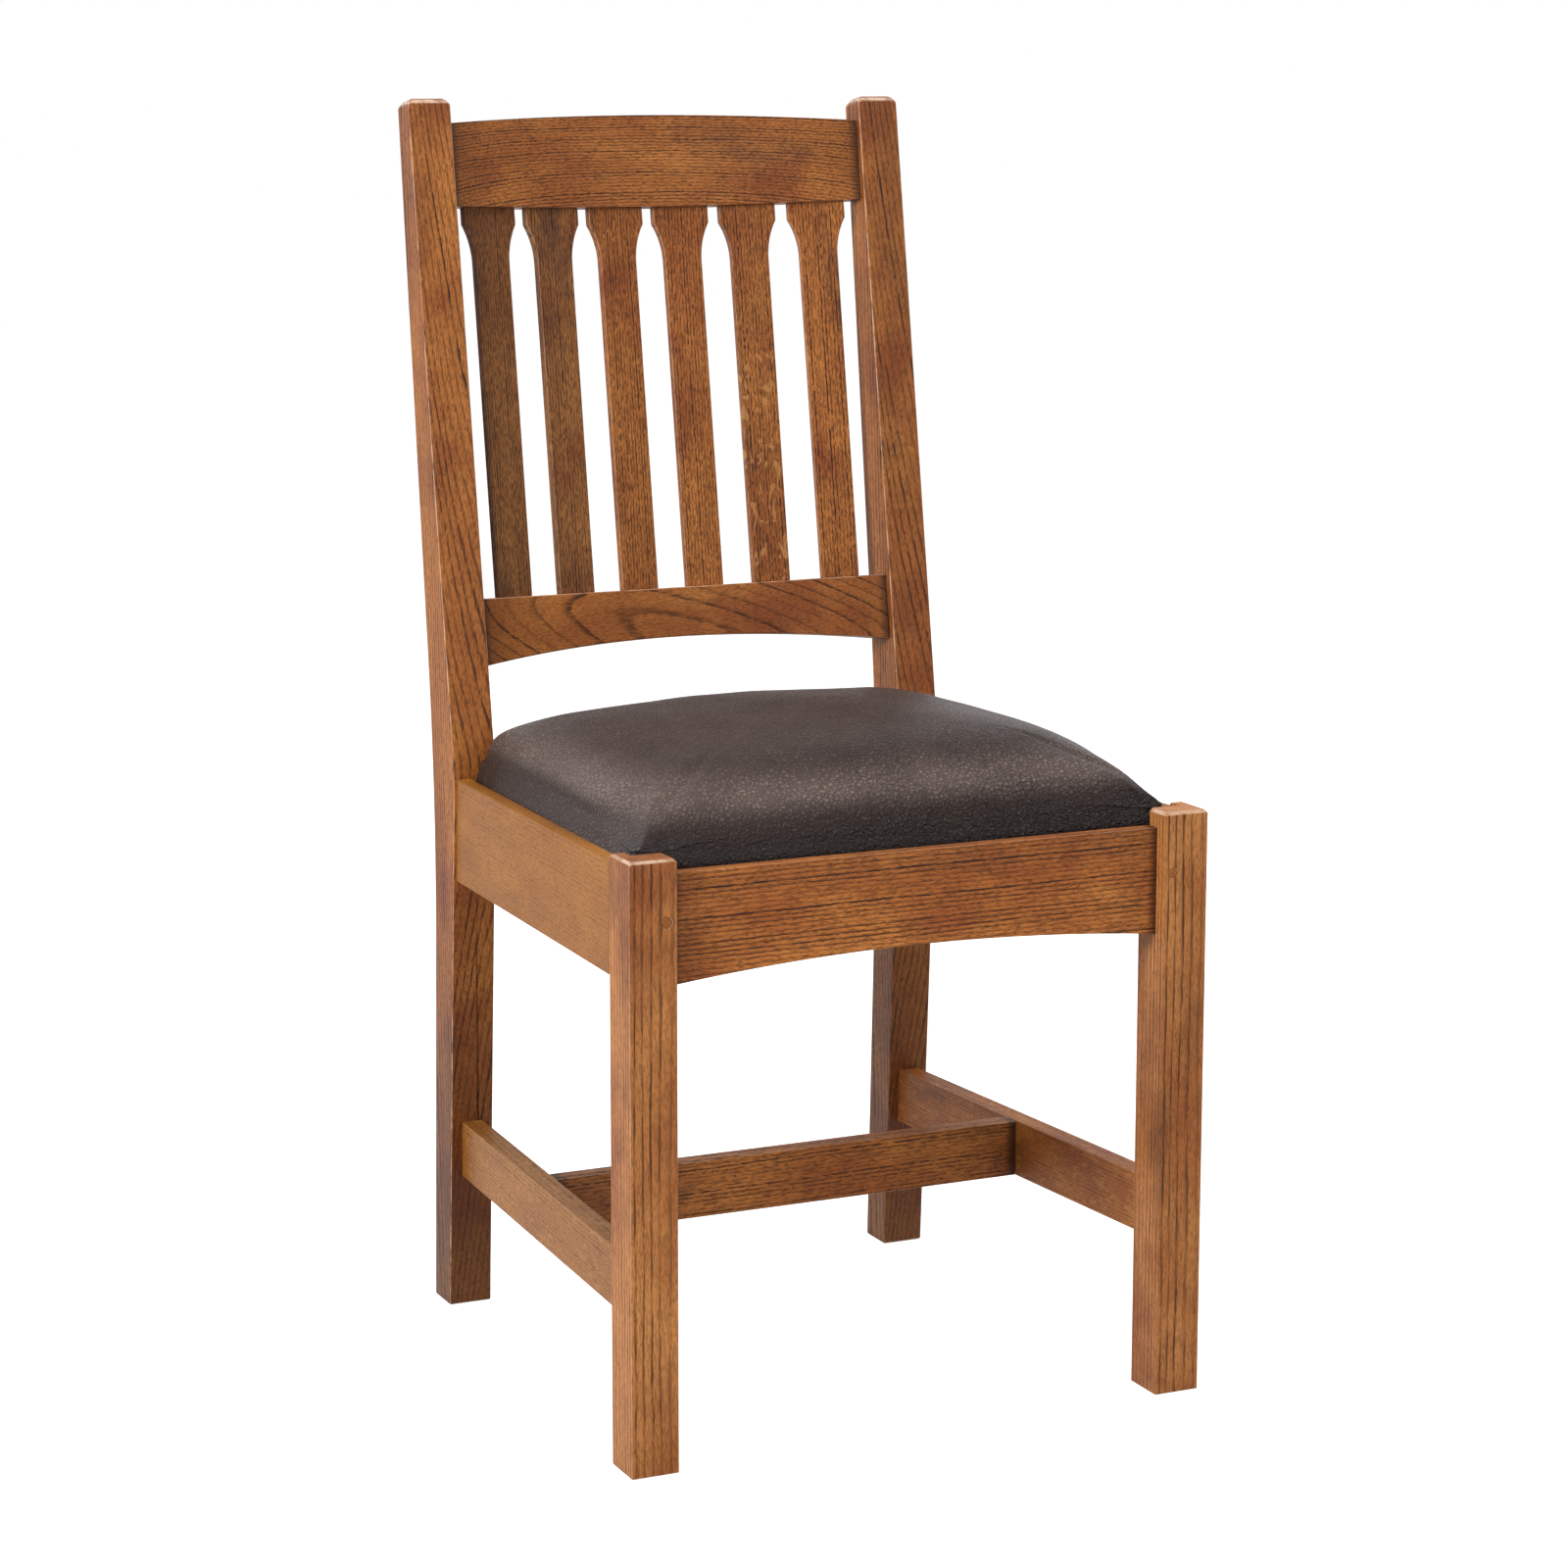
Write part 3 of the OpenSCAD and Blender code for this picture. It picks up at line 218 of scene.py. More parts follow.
class Nodes:
    """Short ways to add and join nodes in one material or world."""

    def __init__(self, tree):
        self.tree = tree
        tree.nodes.clear()

    def add(self, kind, inputs=None, **settings):
        made = self.tree.nodes.new(kind)
        for key, value in settings.items():
            setattr(made, key, value)
        for key, value in (inputs or {}).items():
            self.feed(made.inputs[key], value)
        return made

    def feed(self, socket, value):
        if isinstance(value, bpy.types.NodeSocket):
            self.tree.links.new(value, socket)
        elif isinstance(value, (tuple, list)) and socket.type == "RGBA" and len(value) == 3:
            socket.default_value = (*value, 1.0)
        else:
            socket.default_value = value

    def math(self, operation, *values, clamp=False):
        made = self.add("ShaderNodeMath", dict(enumerate(values)), operation=operation)
        made.use_clamp = clamp
        return made.outputs[0]

    def vector(self, operation, *values):
        made = self.add("ShaderNodeVectorMath", operation=operation)
        for socket, value in zip(made.inputs, values):
            self.feed(socket, value)
        return made.outputs["Value" if operation in ("LENGTH", "DOT_PRODUCT") else "Vector"]

    def split(self, vector):
        """The vector's x, y and z."""
        return self.add("ShaderNodeSeparateXYZ", {0: vector}).outputs

    def noise(self, vector, scale, detail=2.0, rough=0.5, bend=0.0):
        made = self.add("ShaderNodeTexNoise", {"Vector": vector, "Scale": scale, "Detail": detail,
                                               "Roughness": rough, "Distortion": bend})
        return made.outputs[0]

    def stirred(self, vector, scale, detail, reach):
        """The vector moved by a noise, by up to half the reach each way."""
        stir = self.add("ShaderNodeTexNoise", {"Vector": vector, "Scale": scale, "Detail": detail})
        moved = self.vector("SUBTRACT", stir.outputs["Color"], (0.5, 0.5, 0.5))
        return self.vector("ADD", vector, self.vector("MULTIPLY", moved, (reach, reach, reach)))

    def cells(self, vector, scale):
        """Distance to the nearest edge between cells."""
        made = self.add("ShaderNodeTexVoronoi", {"Vector": vector, "Scale": scale},
                        feature="DISTANCE_TO_EDGE")
        return made.outputs[0]

    def between(self, value, low, high, to_low=0.0, to_high=1.0, smooth=True):
        """The value's place from low to high, as a number from to_low to to_high."""
        made = self.add("ShaderNodeMapRange", {"Value": value, "From Min": low, "From Max": high,
                                               "To Min": to_low, "To Max": to_high})
        made.interpolation_type = "SMOOTHSTEP" if smooth else "LINEAR"
        return made.outputs[0]

    def mix(self, share, a, b):
        """Share 0 gives a, 1 gives b."""
        made = self.add("ShaderNodeMix", data_type="RGBA", blend_type="MIX")
        for index, value in ((0, share), (6, a), (7, b)):
            self.feed(made.inputs[index], value)
        return made.outputs[2]

    def ramp(self, value, stops):
        """Greys between stops of a place and a grey each."""
        made = self.add("ShaderNodeValToRGB", {"Fac": value})
        points = made.color_ramp.elements
        while len(points) < len(stops):
            points.new(0.5)
        for point, (place, grey) in zip(points, stops):
            point.position = place
            point.color = (grey, grey, grey, 1.0)
        return made.outputs[0]

    def bump(self, height, distance, strength):
        return self.add("ShaderNodeBump", {"Height": height, "Distance": distance,
                                           "Strength": strength}).outputs[0]

    def surface(self, **inputs):
        """The principled shader and the output, with inputs named as its sockets."""
        shader = self.add("ShaderNodeBsdfPrincipled")
        for key, value in inputs.items():
            self.feed(shader.inputs[key.replace("_", " ")], value)
        self.add("ShaderNodeOutputMaterial", {"Surface": shader.outputs[0]})


def new_material(name):
    material = bpy.data.materials.new(name)
    material.use_nodes = True
    return material, Nodes(material.node_tree)


# ---- Oak ----

def oak(name, box, along, face, pith, pitch, seed, lines=0.8, pores=0.55, flecks=0.0,
        fleck_span=None, tilt=(0.0, 0.0), sway=0.010, length=0.012, fine=0.0, wide=0.30, breaks=0.8,
        red=0.5, smoked=0.5, wear=0.6, joint=None, foot=0.0, tone=1.0, gloss=OAK_GLOSS,
        tints=(OAK_LIGHT, OAK_MID, OAK_RED, OAK_DARK)):
    """Stained open-pored oak.

    Where it grew: along is the way of the grain and face the way the board's show face looks. pith
    is where the tree's middle lies from the board's own, across and behind, and tilt how it leans
    there. pitch is the thickness of a ring and sway how far the rings wander, in metres.
    Its lines: lines and pores say how dark the rings and pores are, wide how much of a ring is
    porous, length and breaks how long and how broken the dark lines are, fine how dense the pores
    are. flecks are the rays' shine, within fleck_span along the board.
    Its finish: red, smoked and wear are shares of reddish stain, dark stain and worn arrises, joint
    the distance from the board's middle to its joints, where gathered stain and painted contact
    shade darken it, and foot how much painted shade darkens the low end. tone scales all tints, and
    gloss is the shader's specular level."""
    material, n = new_material(name)
    light, mid, reddish, deep = (tuple(c * tone for c in tint) for tint in tints)
    low, high = box
    middle = (low + high) / 2
    w = Vector(along).normalized()
    u = Vector(face).cross(w).normalized()
    turned = Matrix((u, w.cross(u), w))
    place = n.add("ShaderNodeTexCoord")

    def placed(vector, location, rotation):
        return n.add("ShaderNodeMapping", {"Vector": vector, "Location": location,
                                           "Rotation": rotation}).outputs[0]

    # The board's own place, counted from its middle, and the same moved to a grain of its own
    centred = -(turned @ middle)
    own = placed(place.outputs["Object"], centred, turned.to_euler())
    offset = Vector([seed * step for step in SEED_STEPS]) - turned @ middle
    board = placed(place.outputs["Object"], offset, turned.to_euler())
    # Place from the tree's middle, which runs at a small tilt to the board
    tree = placed(own, (*pith, 0.0), (*tilt, 0.0))

    def drawn(stretch, scale, detail, rough):
        """A noise over the board's place that is drawn out along the grain."""
        return n.noise(n.vector("MULTIPLY", board, (1.0, 1.0, stretch)), scale, detail, rough)

    # Rings
    reach = n.vector("LENGTH", n.vector("MULTIPLY", tree, (1.0, 1.0, 0.0)))
    for wave, share in ((drawn(*DRIFT), sway), (drawn(*WANDER), WANDER_REACH),
                        (drawn(*RIPPLE), RIPPLE_REACH)):
        reach = n.math("MULTIPLY_ADD", wave, share, reach)
    # Which ring it is, and how far through it
    turn = n.math("DIVIDE", reach, pitch)
    early = n.ramp(n.math("FRACT", turn), ((0.0, 0.0), (EARLY_RISE, 1.0), (wide, EARLY_DARK),
                                           (wide + LATE_FADE, LATE_DARK), (1.0, 0.0)))
    # No two rings hold the same amount of stain
    held = n.add("ShaderNodeTexWhiteNoise", {"W": n.math("FLOOR", turn)},
                 noise_dimensions="1D").outputs[0]
    early = n.math("MULTIPLY", early, n.math("MULTIPLY_ADD", held, HELD_MORE, HELD_LEAST),
                   clamp=True)
    # Pores: short fine dashes, and longer dark ones in the rings where stain has gathered
    dash = n.between(drawn(*DASH), *(end - fine for end in DASH_SPAN))
    streak = drawn(1.0 / (STREAK_SCALE * length), STREAK_SCALE, *STREAK_DETAIL)
    streak = n.between(streak, *STREAK_SPAN)
    line = n.math("MULTIPLY", early, n.math("MULTIPLY_ADD", streak, breaks, 1.0 - breaks))
    pore = n.math("MULTIPLY", dash, n.math("MULTIPLY_ADD", early, 0.5, 0.5))
    dark = n.math("MAXIMUM", n.math("MULTIPLY", line, lines), n.math("MULTIPLY", pore, pores),
                  clamp=True)
    # Broad changes of the stain
    broad = n.between(drawn(*STAIN), *STAIN_SPAN)
    fibre = drawn(*FIBRE)
    colour = n.mix(broad, light, mid)
    colour = n.mix(n.math("MULTIPLY", n.between(fibre, *FIBRE_SPAN), 0.45), colour, mid)
    glaze = n.between(n.noise(board, *GLAZE), *GLAZE_SPAN)
    colour = n.mix(n.math("MULTIPLY", glaze, red), colour, reddish)
    smoke = n.between(drawn(*SMOKE), *SMOKE_SPAN)
    colour = n.mix(n.math("MULTIPLY", smoke, smoked), colour, OAK_SMOKE)
    if flecks:
        ray = n.noise(n.vector("MULTIPLY", board, RAY_STRETCH), *RAY)
        ray = n.math("MULTIPLY", n.between(ray, *RAY_SPAN), flecks)
        if fleck_span:
            ray = n.math("MULTIPLY", ray, n.between(n.split(own)[2], *fleck_span))
        colour = n.mix(ray, colour, OAK_RAY)
        dark = n.math("MULTIPLY", dark, n.math("MULTIPLY_ADD", ray, -0.8, 1.0))
    colour = n.mix(dark, colour, deep)
    # Stain gathered at the board's joints together with painted contact shade there, and painted
    # shade low on the posts
    if joint:
        off = n.math("ABSOLUTE", n.split(own)[2])
        stain_and_shade = n.math("MAXIMUM", *(n.between(off, joint - wide_by, joint, 0.0, strength)
                                     for wide_by, strength in (STAIN_AND_SHADE_BROAD, STAIN_AND_SHADE_TIGHT)))
        colour = n.mix(stain_and_shade, colour, deep)
    # Painted shade: the low end of the back posts grows darker towards the floor
    if foot:
        low_down = n.between(n.split(place.outputs["Object"])[2], FOOT_TOP, FOOT_LOW)
        colour = n.mix(n.math("MULTIPLY", low_down, foot), colour, deep)
    # Worn arrises: the shading normal there looks along none of the board's ways
    if wear:
        normal = n.add("ShaderNodeVectorRotate", {"Vector": place.outputs["Normal"],
                                                  "Rotation": turned.to_euler()},
                       rotation_type="EULER_XYZ").outputs[0]
        ways = n.split(n.vector("ABSOLUTE", normal))
        most = n.math("MAXIMUM", n.math("MAXIMUM", ways[0], ways[1]), ways[2])
        arris = n.math("MULTIPLY", n.between(most, ARRIS_FACE, ARRIS_WORN), wear)
        rubbed = n.between(n.noise(board, *RUB), *RUB_SPAN)
        worn = n.math("MULTIPLY", arris, n.math("MULTIPLY_ADD", rubbed, 0.65, 0.35))
        colour = n.mix(worn, colour, OAK_WORN)
    n.surface(Base_Color=colour, Roughness=n.math("MULTIPLY_ADD", dark, PORE_ROUGH, OAK_ROUGH),
              Normal=n.bump(n.math("MULTIPLY", dark, -1.0), PORE_DEPTH, PORE_STRENGTH),
              Specular_IOR_Level=gloss)
    return material


# ---- Other materials ----

def hide():
    """Dark brown leather: fine pebbles, wrinkles where the seat is used, a soft gloss."""
    material, n = new_material("leather")
    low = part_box("seat_cover")[0]
    place = n.add("ShaderNodeTexCoord").outputs["Object"]
    side = n.split(place)
    # Grain: pebbles, finer ones in them, and creases where the seat is used
    bent = n.stirred(place, *PEBBLE_STIR)
    pebble = n.between(n.cells(bent, PEBBLE_SCALE), 0.0, PEBBLE_EDGE)
    fine = n.between(n.cells(bent, FINE_SCALE), 0.0, FINE_EDGE)
    creased = n.vector("MULTIPLY", n.stirred(place, *CREASE_STIR), CREASE_STRETCH)
    crease = n.between(n.cells(creased, CREASE_SCALE), CREASE_EDGE, 0.0)
    used = n.between(n.noise(place, *USED), *USED_SPAN)
    used = n.math("MULTIPLY", used, n.between(side[0], USED_LEFT, USED_RIGHT, USED_LEAST, 1.0))
    crease = n.math("MULTIPLY", crease, used)
    # Colour: darker between the pebbles, drier and lighter in places
    cloud = n.between(n.noise(place, *CLOUD), *CLOUD_SPAN)
    colour = n.mix(n.math("MULTIPLY", cloud, n.math("MULTIPLY_ADD", pebble, 0.70, 0.50)),
                   LEATHER_DEEP, LEATHER_MID)
    dry = n.between(n.noise(place, *DRY), *DRY_SPAN)
    colour = n.mix(n.math("MULTIPLY", pebble, dry), colour, LEATHER_TOP)
    colour = n.mix(n.math("MULTIPLY", crease, 0.6), colour, LEATHER_DEEP)
    # Lighter band where the leather turns over the padding's edge: partly rubbed leather, partly
    # painted highlight
    band = n.math("MULTIPLY", n.between(side[2], low.z + BAND_FROM, low.z + BAND_FULL),
                  n.between(side[2], low.z + BAND_ENDS, low.z + BAND_EASES))
    patchy = n.between(n.noise(place, *PATCH), *PATCH_SPAN)
    band = n.math("MULTIPLY", band, patchy)
    band = n.math("MULTIPLY", band, n.math("MULTIPLY_ADD", pebble, 0.7, 0.3))
    colour = n.mix(band, colour, LEATHER_RUBBED_AND_HIGHLIGHT)
    # Painted shade: a dark rim by the rails, most of all along the front
    rim = n.between(side[2], low.z + RIM_FULL, low.z + RIM_ENDS, 1.0, 0.0, smooth=False)
    shade_ahead = n.between(side[1], low.y + RIM_FRONT, low.y + RIM_SIDE, 1.0, RIM_LEFT)
    colour = n.mix(n.math("MULTIPLY", rim, shade_ahead), colour, LEATHER_RIM_SHADE)
    height = n.math("MULTIPLY_ADD", fine, FINE_HEIGHT, n.math("MULTIPLY", pebble, PEBBLE_HEIGHT))
    height = n.math("MULTIPLY_ADD", crease, CREASE_HEIGHT, height)
    rough = n.math("MULTIPLY_ADD", pebble, PEBBLE_SMOOTH,
                   n.between(cloud, 0.0, 1.0, *LEATHER_ROUGH))
    n.surface(Base_Color=colour, Roughness=rough,
              Normal=n.bump(height, LEATHER_DEPTH, LEATHER_STRENGTH),
              Specular_IOR_Level=LEATHER_GLOSS)
    return material


def plywood():
    """Thin veneers seen on the board's edge, and a plain rotary-cut face."""
    material, n = new_material("plywood")
    place = n.add("ShaderNodeTexCoord")
    spot = place.outputs["Object"]
    figure_spot, grain_spot = (n.vector("MULTIPLY", spot, stretch) for stretch in PLY_STRETCH)
    figure = n.noise(figure_spot, PLY_FIGURE_SCALE, 3.0, 0.6, 1.4)
    grain = n.noise(grain_spot, PLY_GRAIN_SCALE, 2.0, 0.6)
    colour = n.mix(n.between(figure, 0.35, 0.65), PLY_LIGHT, PLY_MID)
    colour = n.mix(n.math("MULTIPLY", n.between(grain, 0.45, 0.7), 0.5), colour, PLY_DARK)
    layer = n.math("PINGPONG", n.split(spot)[2], PLY_VENEER)
    edge = n.between(n.math("ABSOLUTE", n.split(place.outputs["Normal"])[2]), 0.6, 0.2)
    stripe = n.math("MULTIPLY", edge, n.between(layer, PLY_VENEER * 0.35, PLY_VENEER * 0.65))
    colour = n.mix(n.math("MULTIPLY", stripe, 0.7), colour, PLY_DARK)
    n.surface(Base_Color=colour, Roughness=n.between(grain, 0.0, 1.0, 0.55, 0.75),
              Normal=n.bump(grain, PLY_DEPTH, 0.5), Specular_IOR_Level=PLY_GLOSS)
    return material


def dust_cloth():
    """Thin black plain weave."""
    material, n = new_material("dust_cloth")
    spot = n.add("ShaderNodeTexCoord").outputs["Object"]
    stir = n.noise(spot, CLOTH_STIR_SCALE, 2.0, 0.5)
    ways = n.split(n.vector("MULTIPLY", spot, (THREADS, THREADS, THREADS)))
    over = n.math("SINE", n.math("MULTIPLY_ADD", stir, CLOTH_STIR, ways[0]))
    under = n.math("SINE", n.math("MULTIPLY_ADD", stir, -CLOTH_STIR, ways[1]))
    weave = n.math("MULTIPLY_ADD", n.math("MULTIPLY", over, under), 0.5, 0.5)
    worn = n.math("MULTIPLY_ADD", stir, 0.5, n.math("MULTIPLY", weave, 0.5))
    colour = n.mix(worn, CLOTH_DARK, CLOTH_LIGHT)
    n.surface(Base_Color=colour, Roughness=n.between(weave, 0.0, 1.0, 0.95, 0.80),
              Normal=n.bump(weave, CLOTH_DEPTH, 0.8), Specular_IOR_Level=CLOTH_GLOSS)
    return material


def steel(name, colour, stained, rough):
    """Plain steel with faint tarnish."""
    material, n = new_material(name)
    spot = n.add("ShaderNodeTexCoord").outputs["Object"]
    cloud = n.between(n.noise(spot, TARNISH_SCALE, 3.0, 0.6), 0.35, 0.70)
    fine = n.noise(spot, STEEL_SCALE, 2.0, 0.6)
    n.surface(Base_Color=n.mix(cloud, colour, stained), Metallic=1.0,
              Roughness=n.math("MULTIPLY_ADD", cloud, TARNISH_ROUGH, rough),
              Normal=n.bump(fine, STEEL_DEPTH, 0.5))
    return material


def dress(name, material):
    """Gives a CAD node its material and returns it."""
    node = nodes[name]
    node.data.materials.clear()
    node.data.materials.append(material)
    return node


def ease(node, radius=EDGE_RADIUS):
    """Rounds the arrises of a flat-sided piece, without touching its own mesh."""
    weld = node.modifiers.new("Weld", "WELD")
    weld.merge_threshold = WELD_DISTANCE
    flat = node.modifiers.new("Flat", "DECIMATE")
    flat.decimate_type = "DISSOLVE"
    flat.angle_limit = FLAT_ANGLE
    bevel = node.modifiers.new("Ease", "BEVEL")
    bevel.width = radius
    bevel.segments = EDGE_STEPS
    bevel.limit_method = "ANGLE"
    bevel.angle_limit = EDGE_ANGLE
    bevel.miter_outer = "MITER_ARC"
    bevel.harden_normals = False
    normal = node.modifiers.new("Normals", "WEIGHTED_NORMAL")
    normal.weight = NORMAL_WEIGHT
    normal.keep_sharp = False


X, Y, Z = Vector((1, 0, 0)), Vector((0, 1, 0)), Vector((0, 0, 1))
FRONT = -Y
LEANING = Vector((0, math.sin(BACK_LEAN), math.cos(BACK_LEAN)))
LEAN_FACE = Vector((0, -math.cos(BACK_LEAN), math.sin(BACK_LEAN)))
POST_WAY = Vector((0, math.sin(BACK_LEAN * POST_LEAN_SHARE), math.cos(BACK_LEAN * POST_LEAN_SHARE)))


def side_way(side):
    """Way from front to back along a side rail or stretcher, by its splay."""
    return Vector((-side * math.sin(SIDE_SPLAY), math.cos(SIDE_SPLAY), 0))


def board(name, along, face, radius=EDGE_RADIUS, **looks):
    """Dresses one board in oak of its own and eases its edges."""
    ease(dress(name, oak("oak_" + name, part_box(name), along, face, **looks)), radius)


def dress_frame():
    """Oak on each board of the frame, with its own grain."""
    gold = (GOLD_LIGHT, GOLD_MID, GOLD_RED, OAK_DARK)
    pale = (BLOCK_LIGHT, BLOCK_MID, BLOCK_RED, BLOCK_DARK)
    plain = (OAK_LIGHT, OAK_MID, OAK_RED, OAK_DARK)
    warm = (WARM_LIGHT, WARM_MID, OAK_RED, OAK_DARK)
    dusk = (DUSK_LIGHT, DUSK_MID, OAK_RED, OAK_DARK)
    for side, word in ((-1, "left"), (1, "right")):
        board(f"front_leg_{word}", Z, FRONT, pith=(0.055, 0.075), pitch=0.0038, seed=1.3 + side,
              radius=POST_RADIUS, lines=1.0, pores=0.7, sway=0.006, length=0.045, wide=0.22,
              breaks=0.6, wear=0.9, tints=warm)
        # The back posts' feet are painted darker towards the floor, as shade under the seat
        board(f"back_post_{word}", POST_WAY, FRONT, pith=(0.06, 0.05), pitch=0.0036,
              seed=4.1 + side, radius=POST_RADIUS, lines=1.0, pores=0.85, sway=0.006,
              length=0.030, wide=0.26, breaks=0.65, red=0.65, wear=0.9, foot=0.62, tone=0.98)
        board(f"side_seat_rail_{word}", side_way(side), side * X, pith=(0.10, 0.05), pitch=0.0030,
              seed=7.7 + side, lines=0.25, pores=0.45, wear=0.9, red=0.3, smoked=0.3, gloss=0.12,
              tints=gold)
        # The right stretcher shows its inner face under the seat and is darker and redder than the
        # left: partly its own tone, partly painted shade
        board(f"side_stretcher_{word}", side_way(side), side * X, pith=(0.10, 0.05), pitch=0.0030,
              seed=9.2 + side, lines=0.6, pores=0.6, flecks=0.35, wear=0.8,
              smoked=0.5 if side < 0 else 0.85, tone=1.0 if side < 0 else 0.84,
              tints=gold if side < 0 else plain)
        board(f"rail_pin_{word}", Y, X, pith=(0.03, 0.03), pitch=0.0030, seed=11.2 + side,
              radius=PIN_RADIUS, lines=0.5, pores=0.6, wear=0.2)
    board("front_seat_rail", X, FRONT, pith=(0.12, 0.02), pitch=0.0037, seed=2.2, lines=1.0,
          pores=0.95, length=0.016, wide=0.36, breaks=0.4, wear=1.0, red=0.6, tone=1.28,
          joint=FRONT_RAIL_HALF)
    board("rear_seat_rail", X, Y, pith=(0.11, 0.05), pitch=0.0038, seed=3.1, joint=BACK_RAIL_HALF)
    board("crest_rail", X, LEAN_FACE, pith=(0.10, 0.04), pitch=0.0024, seed=5.2, lines=1.0,
          pores=1.0, length=0.014, breaks=0.4, red=0.7, smoked=0.7, tone=0.97, joint=BACK_RAIL_HALF)
    board("lower_back_rail", X, LEAN_FACE, pith=(0.012, 0.050), pitch=0.0064, seed=6.4, lines=0.95,
          pores=0.8, tilt=(0.0, 0.22), sway=0.022, length=0.025, wide=0.13, breaks=0.5, red=0.7,
          tone=0.92, joint=BACK_RAIL_HALF)
    board("cross_stretcher", X, FRONT, pith=(0.10, 0.03), pitch=0.0030, seed=8.3, lines=1.0,
          pores=0.95, red=0.5, smoked=0.8, tone=0.88, joint=FRONT_RAIL_HALF)
    for i, tone in enumerate(SLAT_TONES, start=1):
        board(f"slat_{i}", LEANING, LEAN_FACE, pith=(0.07 + 0.01 * i, 0.04), pitch=0.0025,
              seed=12.0 + 1.7 * i, radius=SLAT_RADIUS, lines=1.0, pores=1.0, length=0.014,
              fine=0.035, smoked=0.95, red=0.75, flecks=0.85 if i == 5 else 0.0,
              fleck_span=(0.10, 0.0), tone=tone, joint=SLAT_HALF, tints=dusk if i < 3 else plain)
    for number, corner in enumerate(("front_left", "front_right", "rear_left", "rear_right")):
        side = 1 if corner.endswith("right") else -1
        way = Vector((side, 1 if corner.startswith("front") else -1, 0))
        board(f"corner_block_{corner}", way, Z, pith=(0.05, 0.04), pitch=0.0040, seed=30.0 + number,
              lines=0.5, pores=0.5, wear=0.0, tints=pale)


def dress_fittings():
    """The board, the cloth, the tacks and the screws."""
    ease(dress("seat_board", plywood()), PLY_RADIUS)
    ease(dress("dust_cover", dust_cloth()), CLOTH_RADIUS)
    dress("cover_tacks", steel("tack_steel", TACK_COLOUR, TACK_STAIN, TACK_ROUGH))
    dress("corner_block_screws", steel("screw_steel", SCREW_COLOUR, SCREW_STAIN, SCREW_ROUGH))


# ---- Leather seat ----

def seat_outline(inset, radius, draw):
    """Plan of the seat at an inset from its edge, anticlockwise from the front right corner:
    the corners are round, and the sides between them are drawn in."""
    low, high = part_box("seat_cover")
    front, back = low.y + inset, high.y - inset

    def side(y):
        return SEAT_HALF_FRONT - math.tan(SIDE_SPLAY) * (y - low.y) - inset / math.cos(SIDE_SPLAY)

    corners = [np.array(c) for c in ((side(front), front), (side(back), back),
                                     (-side(back), back), (-side(front), front))]
    ring = []
    for q in range(4):
        corner, after_corner, before_corner = corners[q], corners[(q + 1) % 4], corners[(q + 3) % 4]
        before = (before_corner - corner) / np.linalg.norm(before_corner - corner)
        after = (after_corner - corner) / np.linalg.norm(after_corner - corner)
        half = math.acos(before @ after) / 2
        bisector = (before + after) / np.linalg.norm(before + after)
        middle = corner + bisector * radius / math.sin(half)
        start = corner + before * radius / math.tan(half) - middle
        end = corner + after * radius / math.tan(half) - middle
        sweep = math.pi - 2 * half
        for i in range(CORNER_STEPS + 1):
            turn = sweep * i / CORNER_STEPS
            ring.append(middle + (math.sin(sweep - turn) * start + math.sin(turn) * end)
                        / math.sin(sweep))
        leave = corner + after * radius / math.tan(half)
        reach = after_corner - after * radius
        inward = np.array((-after[1], after[0]))
        for i in range(1, SIDE_STEPS + 1):
            share = i / (SIDE_STEPS + 1)
            ring.append(leave + (reach - leave) * share + inward * draw * 4 * share * (1 - share))
    return np.array(ring)


def level_ring(inset, height, draw=0.0):
    """The seat's plan at one height."""
    plan = seat_outline(inset, max(SEAT_CORNER - inset, SEAT_LEAST_CORNER), draw)
    return np.column_stack((plan, np.full(len(plan), height)))


def near_corner(points, back_share=1.0):
    """1 at the seat's front corners and a share of it at the back ones, 0 along its sides."""
    low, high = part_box("seat_cover")
    near = np.zeros(len(points))
    for x, y, share in ((SEAT_HALF_FRONT, low.y, 1.0), (-SEAT_HALF_FRONT, low.y, 1.0),
                        (SEAT_HALF_BACK, high.y, back_share),
                        (-SEAT_HALF_BACK, high.y, back_share)):
        far = np.hypot(points[:, 0] - x, points[:, 1] - y)
        near += share * np.exp(-(far / CORNER_REACH) ** 2)
    return near


def crown_rings(steps, slack=0.0):
    """Rings of the crown from the middle out to the shoulder. They turn from round to the
    seat's own plan on the way out."""
    low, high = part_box("seat_cover")
    rim = seat_outline(SEAT_LEAN + slack, SEAT_CORNER + SEAT_LEAN, SEAT_DRAW)
    middle = np.array((0.0, (low.y + high.y) / 2))
    reach = (rim.max(axis=0) - rim.min(axis=0)) / 2
    shoulder = high.z - SEAT_CROWN - slack
    away = rim - middle
    rounded = away / np.linalg.norm(away / reach, axis=1)[:, None]
    corners = near_corner(rim, BACK_DROP_SHARE)
    rings = []
    for i in range(1, steps + 1):
        out = math.sin(math.pi / 2 * i / steps)
        square = out ** SQUARE_POWER
        plan = middle + out * (rounded * (1 - square) + away * square)
        height = shoulder + SEAT_CROWN * math.sqrt(max(0.0, 1 - out ** CROWN_POWER))
        rings.append(np.column_stack((plan, height - CORNER_DROP * corners * out ** DROP_POWER)))
    return rings, np.array((*middle, shoulder + SEAT_CROWN))


